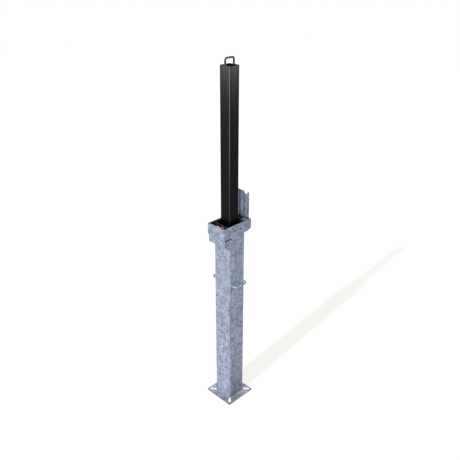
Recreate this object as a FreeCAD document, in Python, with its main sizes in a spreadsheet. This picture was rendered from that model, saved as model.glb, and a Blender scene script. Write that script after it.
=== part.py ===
import FreeCAD, Part
import math
import os
import re

import Sketcher

# Telescopic bollard: a square post that slides into a galvanised ground socket with a hinged lid.
# Millimetres. Origin: middle of the base plate's underside. +Z up, -X lock end, +X hinge end.

os.makedirs("parts", exist_ok=True)
doc = FreeCAD.newDocument("TelescopicBollard")
Vec = FreeCAD.Vector

# Driving sizes: alias, value, meaning
SIZES = [
    ("rim_height", 1200, "collar's top, at ground level, above the base plate's underside"),
    ("plate_side", 200, "base plate"),
    ("plate_thick", 8, "base plate"),
    ("plate_corner", 4, "base plate's corner radius"),
    ("slot_width", 15, "diagonal slots of the base plate"),
    ("slot_start", 83, "inner end of a slot, from the middle"),
    ("slot_end", 126, "outer end of a slot, from the middle, or as far as the plate leaves metal"),
    ("slot_edge", 3, "metal left between a slot and the plate's edges, at least"),
    ("drain_dia", 30, "drain hole in the base plate and the buffer"),
    ("socket_side", 120, "socket tube, outside"),
    ("socket_wall", 4, "socket tube"),
    ("socket_corner", 8, "socket tube's outer corner radius"),
    ("loop_height", 826, "anchor loops above the underside"),
    ("loop_rod", 10, "bar of the anchor loops"),
    ("loop_span", 90, "between the legs' centre lines"),
    ("loop_reach", 35, "from the tube's face to the crossbar's centre line"),
    ("loop_bend", 15, "bend radius on the centre line"),
    ("collar_length", 210, "collar, outside"),
    ("collar_wall", 6, "flat bar of the collar"),
    ("collar_depth", 65, "flat bar of the collar"),
    ("collar_corner", 3, "collar's outer corner radius"),
    ("bevel_length", 26, "cut-off lower corner at the hinge end, along the collar"),
    ("bevel_rise", 14, "cut-off lower corner at the hinge end, upwards"),
    ("vent_dia", 8, "vent holes of the long walls"),
    ("vent_span", 48, "between the two vent holes of a wall"),
    ("vent_drop", 32, "vent holes below the rim"),
    ("pan_thick", 4, "sheet under the hinge space"),
    ("ledge_length", 32, "top plate at the hinge end"),
    ("ledge_thick", 5, "top plate at the hinge end"),
    ("notch_clear", 1, "round the straps, in the ledge and in the tube's rim"),
    ("lid_thick", 5, "lid plate"),
    ("lid_side_clear", 0.5, "closed lid from the collar's long walls"),
    ("lid_end_clear", 1, "closed lid from the collar's lock end"),
    ("lid_heel_clear", 0.9, "open lid above the rim"),
    ("lid_corner", 2, "lid plate's corner radius"),
    ("finger_radius", 15, "finger notch in the lid's free edge"),
    ("finger_offset", 37, "finger notch from the middle of the lid"),
    ("strap_width", 15, "lid straps"),
    ("strap_thick", 5, "lid straps"),
    ("strap_span", 35, "between the straps' centre lines"),
    ("strap_inset", 4, "straps short of the lid's free edge"),
    ("stop_clear", 0.3, "open lid's straps from the ledge that stops them"),
    ("pin_dia", 10, "hinge pin"),
    ("pin_clear", 0.1, "round the hinge pin"),
    ("pin_inset", 17, "hinge pin from the tube's end face"),
    ("pin_proud", 1.5, "pin's ends beyond the collar"),
    ("pin_chamfer", 1, "pin's ends"),
    ("pocket_wall", 4, "sheet of the lock pocket"),
    ("pocket_drop", 47, "pocket's end wall below the collar"),
    ("pocket_slope", 22, "fall of the pocket's bottom to the tube"),
    ("pocket_lap", 16, "pocket's cheeks over the tube's sides"),
    ("pocket_rise", 15, "pocket's end wall inside the collar"),
    ("pocket_bend", 4, "pocket's outer bend radius"),
    ("cheek_slot_width", 5, "slot in each cheek"),
    ("cheek_slot_length", 43, "slot in each cheek"),
    ("cheek_slot_edge", 5, "metal left between the slot and the cheek's free edge, at least"),
    ("cheek_slot_drop", 7, "slot's middle below the collar"),
    ("cheek_slot_inset", 2.5, "slot from the pocket's end"),
    ("ring_thick", 12, "guide ring"),
    ("ring_drop", 75, "guide ring's top below the rim"),
    ("bush_edge_clear", 4, "bush's flange in the socket tube"),
    ("bush_flange_thick", 6, "guide bush's flange"),
    ("bush_wall", 3.5, "guide bush's sleeve"),
    ("bush_clear", 0.2, "sleeve in the guide ring"),
    ("bush_screw_dia", 5, "screws of the guide bush"),
    ("bush_screw_head", 10, "screws of the guide bush"),
    ("bush_screw_length", 16, "screws of the guide bush"),
    ("bush_screw_edge", 7, "bush's screws from the flange's edges, or as far as the sleeve leaves"),
    ("bush_screw_web", 0.8, "from the bush's screws to the sleeve's hole in the ring, at least"),
    ("post_side", 70, "post tube, outside"),
    ("post_wall", 3, "post tube"),
    ("post_corner", 5, "post tube's outer corner radius"),
    ("post_clear", 0.5, "post in the guide bush"),
    ("post_rise", 840, "post's cap above the rim when up"),
    ("post_travel", 900, "how far the post goes down"),
    ("cap_thick", 4, "post's cap"),
    ("cap_chamfer", 1, "post's cap, top edge"),
    ("handle_rod", 10, "bar of the handle"),
    ("handle_span", 60, "between the legs' centre lines"),
    ("handle_rise", 35, "from the cap to the crossbar's centre line"),
    ("handle_bend", 12, "bend radius on the centre line"),
    ("stop_thick", 8, "stop plate"),
    ("stop_gap", 0.4, "stop plate below the guide ring"),
    ("foot_thick", 8, "foot plate"),
    ("foot_clear", 1, "stop and foot plates in the socket tube"),
    ("shoe_thick", 12, "nylon shoe"),
    ("shoe_clear", 0.5, "nylon shoe in the socket tube"),
    ("shoe_screw_dia", 6, "screws of the shoe"),
    ("shoe_screw_head", 12, "screws of the shoe"),
    ("shoe_screw_length", 18, "screws of the shoe"),
    ("shoe_screw_edge", 10.5, "shoe's screws from its edges"),
    ("screw_clear", 0.05, "round a screw"),
    ("buffer_side", 80, "bottom buffer"),
    ("buffer_thick", 25, "bottom buffer"),
    ("buffer_gap", 0.5, "lowered shoe above the buffer"),
    ("barrel_dia", 19, "lock barrel and cam disc"),
    ("barrel_clear", 0.4, "round the barrel and the cam"),
    ("barrel_offset", 16, "lock barrel's axis from the middle of the tube"),
    ("flange_thick", 3, "lock barrel's flange"),
    ("flange_gap", 0.1, "lock barrel's flange above the housing"),
    ("key_length", 9, "key hole"),
    ("key_width", 2.5, "key hole"),
    ("key_depth", 8, "key hole"),
    ("cover_wall", 1.9, "red cap's wall round the barrel"),
    ("cover_fit", 0.1, "red cap round the barrel"),
    ("cover_depth", 8, "red cap"),
    ("cover_roof", 2.5, "red cap's top"),
    ("cover_edge", 2, "red cap's rounded edge"),
    ("cover_gap", 0.6, "red cap below the closed lid's straps"),
    ("cover_side_gap", 1, "red cap from the tube"),
    ("cam_thick", 6, "cam disc"),
    ("cam_lift", 0.8, "cam disc above the bolt"),
    ("cam_web", 0.25, "metal each side of the crank pin, to the rim and to the screw head's seat"),
    ("crank_dia", 5, "crank pin"),
    ("crank_reach", 7.5, "crank pin below the bolt's top"),
    ("crank_clear", 0.4, "each side of the crank pin in the bolt's notch"),
    ("cam_screw_dia", 5, "cam's screw"),
    ("cam_head_thick", 3, "head of the cam's screw"),
    ("cam_screw_length", 14, "cam's screw below its head"),
    ("bolt_dia", 16, "lock bolt"),
    ("bolt_clear", 0.3, "round the bolt in its housing"),
    ("bolt_drop", 50, "bolt's axis below the rim"),
    ("bolt_gap", 2, "withdrawn bolt from the post"),
    ("bolt_hole_clear", 1, "round the bolt in the tube and in the post"),
    ("bolt_tail", 6, "bolt behind its notch, or as much as its bore leaves"),
    ("bolt_tail_gap", 1, "withdrawn bolt from the end of its bore"),
    ("bolt_nose", 2, "chamfer of the bolt's tip"),
    ("housing_drop", 28, "lock housing's top below the rim"),
    ("housing_floor", 5.7, "lock housing under the bolt"),
    ("housing_near_wall", 8, "lock housing beside the bolt"),
    ("housing_far_side", 14, "lock housing's far side from the middle plane"),
    ("housing_gap", 0.5, "lock housing from the pocket's end wall"),
    ("housing_end_wall", 1.5, "lock housing behind the bolt's bore, at least"),
    ("housing_edge", 2, "lock housing's edge chamfer"),
    ("housing_screw_dia", 6, "screws of the lock housing"),
    ("housing_screw_head", 10, "screws of the lock housing"),
    ("housing_head_thick", 6, "screws of the lock housing"),
    ("housing_screw_length", 20, "screws of the lock housing, or as much as the lid buffer leaves"),
    ("housing_screw_web", 1.5, "from a screw's tip to the lid buffer, at least"),
    ("housing_screw_rise", 15, "screws of the lock housing above the bolt's axis"),
    ("housing_screw_edge", 6, "screws of the lock housing from its sides"),
    ("stud_dia", 13, "lid buffer"),
    ("stud_shank", 8, "lid buffer's shank"),
    ("stud_shank_length", 12, "lid buffer's shank"),
    ("stud_clear", 0.1, "round the lid buffer's shank"),
    ("stud_inset", 7.5, "lid buffer from the housing's outer end"),
    ("stud_offset", 2, "lid buffer from the middle plane"),
    ("stud_dome", 4, "lid buffer's rounded top edge"),
]

# Places and sizes worked out from the driving ones
PLACES = {
    "slot_out": "min(slot_end; plate_side * sqrt(0.5)"
                " - (slot_width / 2 + slot_edge) * sqrt(2) + slot_width / 2)",
    "socket_half": "socket_side / 2",
    "socket_bore": "socket_side - 2 * socket_wall",
    "bore_corner": "socket_corner - socket_wall",
    "socket_top": "rim_height - lid_thick",
    "collar_half": "socket_half + collar_wall",
    "collar_end": "collar_length / 2",
    "collar_inner": "collar_end - collar_wall",
    "collar_bottom": "rim_height - collar_depth",
    "bevel_start": "collar_end - bevel_length",
    "ledge_front": "collar_inner - ledge_length",
    "ledge_bottom": "rim_height - ledge_thick",
    "hinge_across": "socket_half + pin_inset",
    "pin_bore": "pin_dia / 2 + pin_clear",
    "eye_radius": "pin_bore + strap_thick",
    "hinge_height": "socket_top - eye_radius",
    "lid_inside": "hinge_across + eye_radius",
    "lid_half": "socket_half - lid_side_clear",
    "lid_bottom": "rim_height + lid_heel_clear",
    "lid_top": "hinge_height + hinge_across + collar_inner - lid_end_clear",
    "strap_bottom": "socket_top - strap_thick",
    "notch_near": "strap_span / 2 - strap_width / 2 - notch_clear",
    "notch_far": "strap_span / 2 + strap_width / 2 + notch_clear",
    "pocket_half": "socket_half + pocket_wall",
    "pocket_heel": "collar_bottom - pocket_drop",
    "pocket_foot": "pocket_heel - pocket_slope",
    "pocket_fall": "pocket_slope / (collar_inner - socket_half)",
    "pocket_floor": "pocket_wall * sqrt(1 + pocket_fall ^ 2)",
    "pocket_back": "-socket_half + pocket_lap",
    "cheek_slot_start": "-collar_inner + cheek_slot_inset",
    "cheek_slot_end": "min(cheek_slot_start + cheek_slot_length; pocket_back - cheek_slot_edge)",
    "ring_top": "rim_height - ring_drop",
    "ring_bottom": "ring_top - ring_thick",
    "bush_half": "socket_bore / 2 - bush_edge_clear",
    "bush_bore": "post_side / 2 + post_clear",
    "bush_sleeve": "bush_bore + bush_wall",
    "bush_screw_at": "max(bush_half - bush_screw_edge;"
                     " bush_sleeve + bush_clear + bush_screw_dia / 2 + bush_screw_web)",
    "bush_top": "ring_top + bush_flange_thick",
    "post_half": "post_side / 2",
    "post_top": "rim_height + post_rise",
    "stop_bottom": "ring_bottom - stop_gap - stop_thick",
    "foot_half": "socket_bore / 2 - foot_clear",
    "shoe_half": "socket_bore / 2 - shoe_clear",
    "shoe_screw_at": "shoe_half - shoe_screw_edge",
    "shoe_bottom": "plate_thick + buffer_thick + buffer_gap + post_travel",
    "foot_bottom": "shoe_bottom + shoe_thick",
    "post_bottom": "foot_bottom + foot_thick",
    "bolt_height": "rim_height - bolt_drop",
    "bolt_top": "bolt_height + bolt_dia / 2",
    "bolt_hole": "bolt_dia / 2 + bolt_hole_clear",
    "bolt_bore": "bolt_dia / 2 + bolt_clear",
    "cover_half": "barrel_dia / 2 + cover_fit + cover_wall",
    "barrel_across": "-socket_half - cover_side_gap - cover_half",
    "crank_radius": "(barrel_dia - crank_dia) / 2 - cam_web",
    "crank_swing": "crank_radius * sqrt(0.5)",
    "crank_across": "barrel_across - crank_swing",
    "crank_half": "crank_dia / 2 + crank_clear",
    "cam_head": "crank_radius - crank_dia / 2 - cam_web",
    "bolt_offset": "barrel_offset + (crank_radius + crank_swing) / 2",
    "bolt_rear": "max(crank_across - crank_half - bolt_tail;"
                 " housing_end + housing_end_wall + bolt_tail_gap)",
    "bolt_tip": "-post_half - bolt_gap",
    "cam_bottom": "bolt_top + cam_lift",
    "cam_top": "cam_bottom + cam_thick",
    "barrel_top": "strap_bottom - cover_gap - cover_roof",
    "housing_top": "rim_height - housing_drop",
    "housing_bottom": "bolt_height - bolt_bore - housing_floor",
    "housing_end": "-collar_inner + pocket_wall + housing_gap",
    "housing_near_side": "bolt_offset + bolt_bore + housing_near_wall",
    "housing_screw_face": "-socket_half + socket_wall",
    "housing_screw_height": "bolt_height + housing_screw_rise",
    "stud_across": "housing_end + stud_inset",
    "stud_bottom": "housing_top - stud_shank_length",
    "housing_screw_tip": "max(housing_screw_face - housing_screw_length;"
                         " stud_across + stud_shank / 2 + stud_clear + housing_screw_web)",
}

sheet = doc.addObject("Spreadsheet::Sheet", "Sizes")
for row, (alias, value, meaning) in enumerate(SIZES, start=1):
    sheet.set("A%d" % row, meaning)
    sheet.set("B%d" % row, str(value))
    sheet.setAlias("B%d" % row, alias)
ALIASES = {alias for alias, value, meaning in SIZES}
doc.recompute()


def formula(text):
    """A formula of named sizes and places, as an expression that reads the sheet."""
    def swap(match):
        name = match.group()
        if name in ALIASES:
            return "Sizes." + name
        if name in PLACES:
            return "(" + formula(PLACES[name]) + ")"
        return name
    return re.sub(r"[a-z_]+", swap, str(text))


def amount(text):
    """The present value of a formula."""
    return float(sheet.evalExpression(formula(text)))


def bind(thing, prop, text):
    """Tie a property to a formula of named sizes."""
    thing.setExpression(prop, formula(text))


def place(thing, x, y, z, turn=None):
    """Put an object at a named place, turned first if a rotation is given."""
    if turn is not None:
        thing.Placement = FreeCAD.Placement(Vec(), turn)
    for letter, text in zip("xyz", (x, y, z)):
        bind(thing, "Placement.Base." + letter, text)
    return thing


UP = Vec(0, 0, 1)
RIGHT = Vec(1, 0, 0)
ALONG_X = FreeCAD.Rotation(Vec(0, 1, 0), 90)
UPSIDE_DOWN = FreeCAD.Rotation(Vec(1, 0, 0), 180)
CORNERS = (("", ""), ("-", ""), ("-", "-"), ("", "-"))
NEAR = 0.01


# Sketches. Seen from -Y, an XZ sketch's start is measured towards the viewer.

def new_sketch(body, name, role, start="0", turn=0):
    """A sketch on one of the body's own planes, moved along the plane's normal."""
    sketch = body.newObject("Sketcher::SketchObject", name)
    plane = next(item for item in body.Origin.OriginFeatures if item.Role == role)
    sketch.AttachmentSupport = [(plane, "")]
    sketch.MapMode = "FlatFace"
    sketch.AttachmentOffset = FreeCAD.Placement(Vec(), FreeCAD.Rotation(UP, turn))
    bind(sketch, "AttachmentOffset.Base.z", start)
    return sketch


def fix_point(sketch, element, point, x, y):
    """Hold a point of the sketch at two named distances from its origin."""
    for kind, text in (("DistanceX", x), ("DistanceY", y)):
        held = Sketcher.Constraint(kind, -1, 1, element, point, amount(text))
        bind(sketch, "Constraints[%d]" % sketch.addConstraint(held), text)


def fix_radius(sketch, element, text):
    """Hold the radius of a circle or an arc."""
    held = Sketcher.Constraint("Radius", element, amount(text))
    bind(sketch, "Constraints[%d]" % sketch.addConstraint(held), text)


def outline(sketch, points):
    """A closed outline of straight sides, every corner held by its own sizes."""
    corners = [Vec(amount(x), amount(y), 0) for x, y in points]
    sides = []
    for start, end in zip(corners, corners[1:] + corners[:1]):
        sides.append(sketch.addGeometry(Part.LineSegment(start, end), False))
    for one, two in zip(sides, sides[1:] + sides[:1]):
        sketch.addConstraint(Sketcher.Constraint("Coincident", one, 2, two, 1))
    for side, (x, y) in zip(sides, points):
        fix_point(sketch, side, 1, x, y)
    return sketch


def rectangle(sketch, left, right, low, high):
    """A rectangle between four named places."""
    return outline(sketch, [(left, low), (right, low), (right, high), (left, high)])


def square(sketch, half):
    """A square about the sketch's origin."""
    return rectangle(sketch, "-" + half, half, "-" + half, half)


def circle(sketch, x, y, radius):
    """A circle about a named place."""
    round_line = Part.Circle(Vec(amount(x), amount(y), 0), UP, amount(radius))
    element = sketch.addGeometry(round_line, False)
    fix_point(sketch, element, 3, x, y)
    fix_radius(sketch, element, radius)
    return sketch


def slot(sketch, left, right, y, radius):
    """A slot with round ends, between the centres of its two ends."""
    one_at = Vec(amount(left), amount(y), 0)
    two_at = Vec(amount(right), amount(y), 0)
    half = amount(radius)
    rise = Vec(0, half, 0)
    top = math.pi / 2
    one_arc = Part.ArcOfCircle(Part.Circle(one_at, UP, half), top, 3 * top)
    two_arc = Part.ArcOfCircle(Part.Circle(two_at, UP, half), -top, top)
    one = sketch.addGeometry(one_arc, False)
    low = sketch.addGeometry(Part.LineSegment(one_at - rise, two_at - rise), False)
    two = sketch.addGeometry(two_arc, False)
    high = sketch.addGeometry(Part.LineSegment(two_at + rise, one_at + rise), False)
    for start, end in ((one, low), (low, two), (two, high), (high, one)):
        sketch.addConstraint(Sketcher.Constraint("Tangent", start, 2, end, 1))
    sketch.addConstraint(Sketcher.Constraint("Equal", one, two))
    fix_point(sketch, one, 3, left, y)
    fix_point(sketch, two, 3, right, y)
    fix_radius(sketch, one, radius)
    return sketch


# Features of a body

def new_body(label):
    """An empty body, which is one sub-part."""
    body = doc.addObject("PartDesign::Body", label)
    body.Label = label
    return body


def pad(body, sketch, length):
    """Solid along the sketch's normal."""
    feature = body.newObject("PartDesign::Pad", sketch.Name + "_pad")
    feature.Profile = sketch
    bind(feature, "Length", length)
    doc.recompute()
    return feature


def pocket(body, sketch, length):
    """Cut along the sketch's normal, and make sure that something was cut."""
    before = body.Shape.Volume
    feature = body.newObject("PartDesign::Pocket", sketch.Name + "_pocket")
    feature.Profile = sketch
    feature.Reversed = True
    bind(feature, "Length", length)
    doc.recompute()
    if not body.Shape.Volume < before:
        raise RuntimeError(sketch.Name + " cuts nothing")
    return feature


def mirror(body, feature, role):
    """Repeat a feature on the other side of one of the body's planes."""
    plane = next(item for item in body.Origin.OriginFeatures if item.Role == role)
    copy = body.newObject("PartDesign::Mirrored", feature.Name + "_mirror")
    copy.Originals = [feature]
    copy.MirrorPlane = (plane, [""])
    body.Tip = copy
    doc.recompute()


def around(body, feature, count):
    """Repeat a feature evenly about the body's upright axis."""
    axis = next(item for item in body.Origin.OriginFeatures if item.Role == "Z_Axis")
    copy = body.newObject("PartDesign::PolarPattern", feature.Name + "_around")
    copy.Originals = [feature]
    copy.Axis = (axis, [""])
    copy.Angle = 360
    copy.Occurrences = count
    body.Tip = copy
    doc.recompute()


def finish_edges(body, kind, prop, text, test):
    """Fillet or chamfer the body's edges whose middle point and direction pass a test."""
    base = body.Tip
    names = []
    for number, edge in enumerate(base.Shape.Edges, start=1):
        middle = (edge.FirstParameter + edge.LastParameter) / 2
        if test(edge.valueAt(middle), edge.tangentAt(middle)):
            names.append("Edge%d" % number)
    if not names:
        raise RuntimeError(body.Label + " has no edge to finish")
    feature = body.newObject("PartDesign::" + kind, base.Name + "_" + kind.lower())
    feature.Base = (base, names)
    bind(feature, prop, text)
    doc.recompute()


def parallel(along, axis):
    """Whether an edge's direction is that of an axis, either way."""
    return abs(abs(along.dot(axis)) - 1) < NEAR


def fillet(body, radius, test):
    """Round the edges that pass a test."""
    finish_edges(body, "Fillet", "Radius", radius, test)


def chamfer(body, width, test):
    """Bevel the edges that pass a test."""
    finish_edges(body, "Chamfer", "Size", width, test)


def round_corners(body, half, radius):
    """Round the upright edges at the corners of a square of the given half side."""
    reach = amount(half)
    fillet(body, radius, lambda at, along: parallel(along, UP)
           and abs(abs(at.x) - reach) < NEAR and abs(abs(at.y) - reach) < NEAR)


def sink_holes(body, height, at, diameter, head):
    """Countersink four screw holes where they meet the face at a height."""
    level = amount(height)
    middle = amount(at)
    hole = amount(diameter) / 2 + amount("screw_clear") + NEAR
    chamfer(body, "(%s - %s) / 2" % (head, diameter),
            lambda where, along: abs(where.z - level) < NEAR
            and math.hypot(abs(where.x) - middle, abs(where.y) - middle) < hole)


def screw_holes(body, name, start, at, diameter, length):
    """Four clearance holes at the corners of a square."""
    sketch = new_sketch(body, name, "XY_Plane", start)
    circle(sketch, at, at, diameter + " / 2 + screw_clear")
    around(body, pocket(body, sketch, length), 4)


def square_plate(label, half, corner, start, thick):
    """A square plate with rounded corners."""
    body = new_body(label)
    pad(body, square(new_sketch(body, label + "_outline", "XY_Plane", start), half), thick)
    round_corners(body, half, corner)
    return body


def square_opening(body, half, corner, start, thick):
    """A square opening with rounded corners, through a plate or a tube."""
    sketch = new_sketch(body, body.Label + "_opening", "XY_Plane", start)
    pocket(body, square(sketch, half), thick)
    round_corners(body, half, corner)


# Solids made of primitives

def cylinder(name, radius, height, x, y, z, turn=None):
    """A round bar."""
    solid = doc.addObject("Part::Cylinder", name)
    bind(solid, "Radius", radius)
    bind(solid, "Height", height)
    return place(solid, x, y, z, turn)


def fuse(label, solids):
    """Several solids as one."""
    joined = doc.addObject("Part::MultiFuse", label)
    joined.Shapes = solids
    return joined


def group(label, solids):
    """Several separate like pieces in one node."""
    together = doc.addObject("Part::Compound", label)
    together.Links = solids
    return together


def sunk_screws(label, at, face, diameter, head, length, turn):
    """Four countersunk screws at the corners of a square, their heads flush with a face."""
    depth = "(%s - %s) / 2" % (head, diameter)
    screws = []
    for number, (side_x, side_y) in enumerate(CORNERS, start=1):
        name = "%s_%d" % (label, number)
        top = doc.addObject("Part::Cone", name + "_head")
        bind(top, "Radius1", diameter + " / 2")
        bind(top, "Radius2", head + " / 2")
        bind(top, "Height", depth)
        place(top, "0", "0", "-" + depth)
        shank = cylinder(name + "_shank", diameter + " / 2", "%s - %s" % (length, depth), "0", "0", "-" + length)
        screws.append(place(fuse(name, [top, shank]), side_x + at, side_y + at, face, turn))
    return group(label, screws)


def bent_bar(label, rod, span, rise, bend):
    """U-bent round bar: two legs, two quarter bends and a crossbar.

    In its own frame the legs stand on the XY plane along +Z, at plus and minus half the span.
    """
    half = span + " / 2"
    inner = "%s - %s" % (half, bend)
    straight = "%s - %s" % (rise, bend)
    quarter = FreeCAD.Rotation(Vec(1, 0, 0), 90)
    pieces = []
    for name, side, turn in (("far", "", quarter), ("near", "-", FreeCAD.Rotation(UP, 180).multiply(quarter))):
        pieces.append(cylinder("%s_%s_leg" % (label, name), rod + " / 2", straight, side + half, "0", "0"))
        corner = doc.addObject("Part::Torus", "%s_%s_bend" % (label, name))
        bind(corner, "Radius1", bend)
        bind(corner, "Radius2", rod + " / 2")
        corner.Angle3 = 90
        pieces.append(place(corner, "%s(%s)" % (side, inner), "0", straight, turn))
    pieces.append(cylinder(label + "_crossbar", rod + " / 2", "2 * (%s)" % inner,
                           "-(%s)" % inner, "0", rise, ALONG_X))
    return fuse(label, pieces)


# Ground socket

def make_base_plate():
    """Square plate with a drain hole and a slot on each diagonal."""
    body = square_plate("base_plate", "plate_side / 2", "plate_corner", "0", "plate_thick")
    drain = new_sketch(body, "drain", "XY_Plane")
    pocket(body, circle(drain, "0", "0", "drain_dia / 2"), "plate_thick")
    diagonal = new_sketch(body, "diagonal_slot", "XY_Plane", "0", 45)
    slot(diagonal, "slot_start + slot_width / 2", "slot_out - slot_width / 2", "0", "slot_width / 2")
    around(body, pocket(body, diagonal, "plate_thick"), 4)
    return body


def housing_holes(body, start, length):
    """Two clearance holes for the lock housing's screws."""
    for name, side in (("near", "housing_screw_edge - housing_near_side"),
                       ("far", "housing_far_side - housing_screw_edge")):
        hole = new_sketch(body, "%s_%s_hole" % (body.Label, name), "YZ_Plane", start)
        circle(hole, side, "housing_screw_height", "housing_screw_dia / 2 + screw_clear")
        pocket(body, hole, length)


def make_socket_tube():
    """Square tube from the base plate to the lid's underside."""
    length = "socket_top - plate_thick"
    body = square_plate("socket_tube", "socket_half", "socket_corner", "plate_thick", length)
    square_opening(body, "socket_bore / 2", "bore_corner", "plate_thick", length)
    # Notches in both end walls for the closed lid's straps
    notch = new_sketch(body, "rim_notch", "YZ_Plane", "-socket_half")
    rectangle(notch, "notch_near", "notch_far", "strap_bottom - notch_clear", "socket_top")
    mirror(body, pocket(body, notch, "socket_side"), "XZ_Plane")
    hole = new_sketch(body, "socket_bolt_hole", "YZ_Plane", "-socket_half")
    pocket(body, circle(hole, "-bolt_offset", "bolt_height", "bolt_hole"), "socket_wall")
    housing_holes(body, "-socket_half", "socket_wall")
    return body


def make_anchor_loop(label, side):
    """Loop on a long-side face of the tube: side is 1 for +Y and -1 for -Y."""
    loop = bent_bar(label, "loop_rod", "loop_span", "loop_reach", "loop_bend")
    face = "socket_half" if side > 0 else "-socket_half"
    return place(loop, "0", face, "loop_height", FreeCAD.Rotation(Vec(1, 0, 0), -90 * side))


def make_collar_frame():
    """Flat bar folded round the tube's top, its lower corners cut off at the hinge end."""
    body = new_body("collar_frame")
    ring = new_sketch(body, "collar_outline", "XY_Plane", "collar_bottom")
    rectangle(ring, "-collar_end", "collar_end", "-collar_half", "collar_half")
    pad(body, ring, "collar_depth")
    fillet(body, "collar_corner", lambda at, along: parallel(along, UP))
    inside = new_sketch(body, "collar_inside", "XY_Plane", "collar_bottom")
    rectangle(inside, "-collar_inner", "collar_inner", "-socket_half", "socket_half")
    pocket(body, inside, "collar_depth")
    bevel = new_sketch(body, "collar_bevel", "XZ_Plane", "-collar_half")
    outline(bevel, [("bevel_start", "collar_bottom"), ("collar_end", "collar_bottom"),
                    ("collar_end", "collar_bottom + bevel_rise")])
    pocket(body, bevel, "2 * collar_half")
    vent = new_sketch(body, "vent", "XZ_Plane", "-collar_half")
    circle(vent, "vent_span / 2", "rim_height - vent_drop", "vent_dia / 2")
    mirror(body, pocket(body, vent, "2 * collar_half"), "YZ_Plane")
    hole = new_sketch(body, "pin_hole", "XZ_Plane", "-collar_half")
    pocket(body, circle(hole, "hinge_across", "hinge_height", "pin_bore"), "2 * collar_half")
    return body


def make_hinge_pan():
    """Folded sheet that closes the hinge space from below, between the tube and the collar."""
    body = new_body("hinge_pan")
    side = new_sketch(body, "pan_side", "XZ_Plane", "-socket_half")
    end = "collar_bottom + bevel_rise * (collar_inner - bevel_start) / bevel_length"
    outline(side, [("socket_half", "collar_bottom"), ("bevel_start", "collar_bottom"),
                   ("collar_inner", end), ("collar_inner", end + " + pan_thick"),
                   ("bevel_start", "collar_bottom + pan_thick"),
                   ("socket_half", "collar_bottom + pan_thick")])
    pad(body, side, "socket_side")
    return body


def make_hinge_ledge():
    """Plate flush with the rim, open to the lid's straps, which it stops when the lid is open."""
    body = new_body("hinge_ledge")
    plate = new_sketch(body, "ledge_outline", "XY_Plane", "ledge_bottom")
    rectangle(plate, "ledge_front", "collar_inner", "-socket_half", "socket_half")
    pad(body, plate, "ledge_thick")
    notch = new_sketch(body, "ledge_notch", "XY_Plane", "ledge_bottom")
    rectangle(notch, "ledge_front", "lid_inside + stop_clear", "notch_near", "notch_far")
    mirror(body, pocket(body, notch, "ledge_thick"), "XZ_Plane")
    return body


def make_hinge_pin():
    """Round pin through the collar's long walls, chamfered at its ends."""
    body = new_body("hinge_pin")
    section = new_sketch(body, "pin_section", "XZ_Plane", "-collar_half - pin_proud")
    circle(section, "hinge_across", "hinge_height", "pin_dia / 2")
    pad(body, section, "2 * (collar_half + pin_proud)")
    end = amount("collar_half + pin_proud") - NEAR
    chamfer(body, "pin_chamfer", lambda at, along: abs(at.y) > end)
    return body


def make_lock_pocket():
    """Folded sheet: an end wall, a sloping bottom and two cheeks that lap the tube's sides."""
    body = new_body("lock_pocket")
    side = new_sketch(body, "pocket_side", "XZ_Plane", "-pocket_half")
    heel = ("-collar_inner", "pocket_heel")
    foot = ("-socket_half", "pocket_foot")
    tip = ("pocket_back", "pocket_foot - pocket_fall * pocket_lap")
    outline(side, [("-collar_inner", "collar_bottom"), heel, foot, tip, ("pocket_back", "collar_bottom")])
    pad(body, side, "2 * pocket_half")
    end = amount("-collar_inner") + NEAR
    top = amount("collar_bottom") - NEAR
    fillet(body, "pocket_bend", lambda at, along: at.x < end and at.z < top)
    hollow = new_sketch(body, "pocket_hollow", "XZ_Plane", "-socket_half")
    inner = "-collar_inner + pocket_wall"
    outline(hollow, [(inner, "collar_bottom"),
                     (inner, "pocket_heel - pocket_fall * pocket_wall + pocket_floor"),
                     ("-socket_half", "pocket_foot + pocket_floor"), ("-socket_half", "collar_bottom")])
    pocket(body, hollow, "socket_side")
    # Room for the tube between the cheeks
    between = new_sketch(body, "pocket_between", "XZ_Plane", "-socket_half")
    rectangle(between, "-socket_half", "pocket_back", "pocket_foot - pocket_lap", "collar_bottom")
    pocket(body, between, "socket_side")
    rise = new_sketch(body, "pocket_upstand", "YZ_Plane", "-collar_inner")
    rectangle(rise, "-socket_half", "socket_half", "collar_bottom - pocket_wall", "collar_bottom + pocket_rise")
    pad(body, rise, "pocket_wall")
    opening = new_sketch(body, "cheek_slot", "XZ_Plane", "-pocket_half")
    slot(opening, "cheek_slot_start + cheek_slot_width / 2", "cheek_slot_end - cheek_slot_width / 2",
         "collar_bottom - cheek_slot_drop", "cheek_slot_width / 2")
    mirror(body, pocket(body, opening, "pocket_wall"), "XZ_Plane")
    return body


def make_guide_ring():
    """Square ring welded inside the tube, with the screw holes of the bush."""
    body = square_plate("guide_ring", "socket_bore / 2", "bore_corner", "ring_bottom", "ring_thick")
    window = new_sketch(body, "ring_window", "XY_Plane", "ring_bottom")
    pocket(body, square(window, "(bush_sleeve + bush_clear)"), "ring_thick")
    screw_holes(body, "ring_screw_hole", "ring_bottom", "bush_screw_at", "bush_screw_dia", "ring_thick")
    return body


def make_guide_bush():
    """Nylon bush: a flange on the ring and a sleeve through it, with a square bore for the post."""
    body = square_plate("guide_bush", "bush_half", "bore_corner", "ring_top", "bush_flange_thick")
    sleeve = new_sketch(body, "bush_sleeve", "XY_Plane", "ring_bottom")
    pad(body, square(sleeve, "bush_sleeve"), "ring_thick")
    square_opening(body, "bush_bore", "post_corner", "ring_bottom", "ring_thick + bush_flange_thick")
    screw_holes(body, "bush_screw_hole", "ring_top", "bush_screw_at", "bush_screw_dia", "bush_flange_thick")
    sink_holes(body, "bush_top", "bush_screw_at", "bush_screw_dia", "bush_screw_head")
    return body


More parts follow.
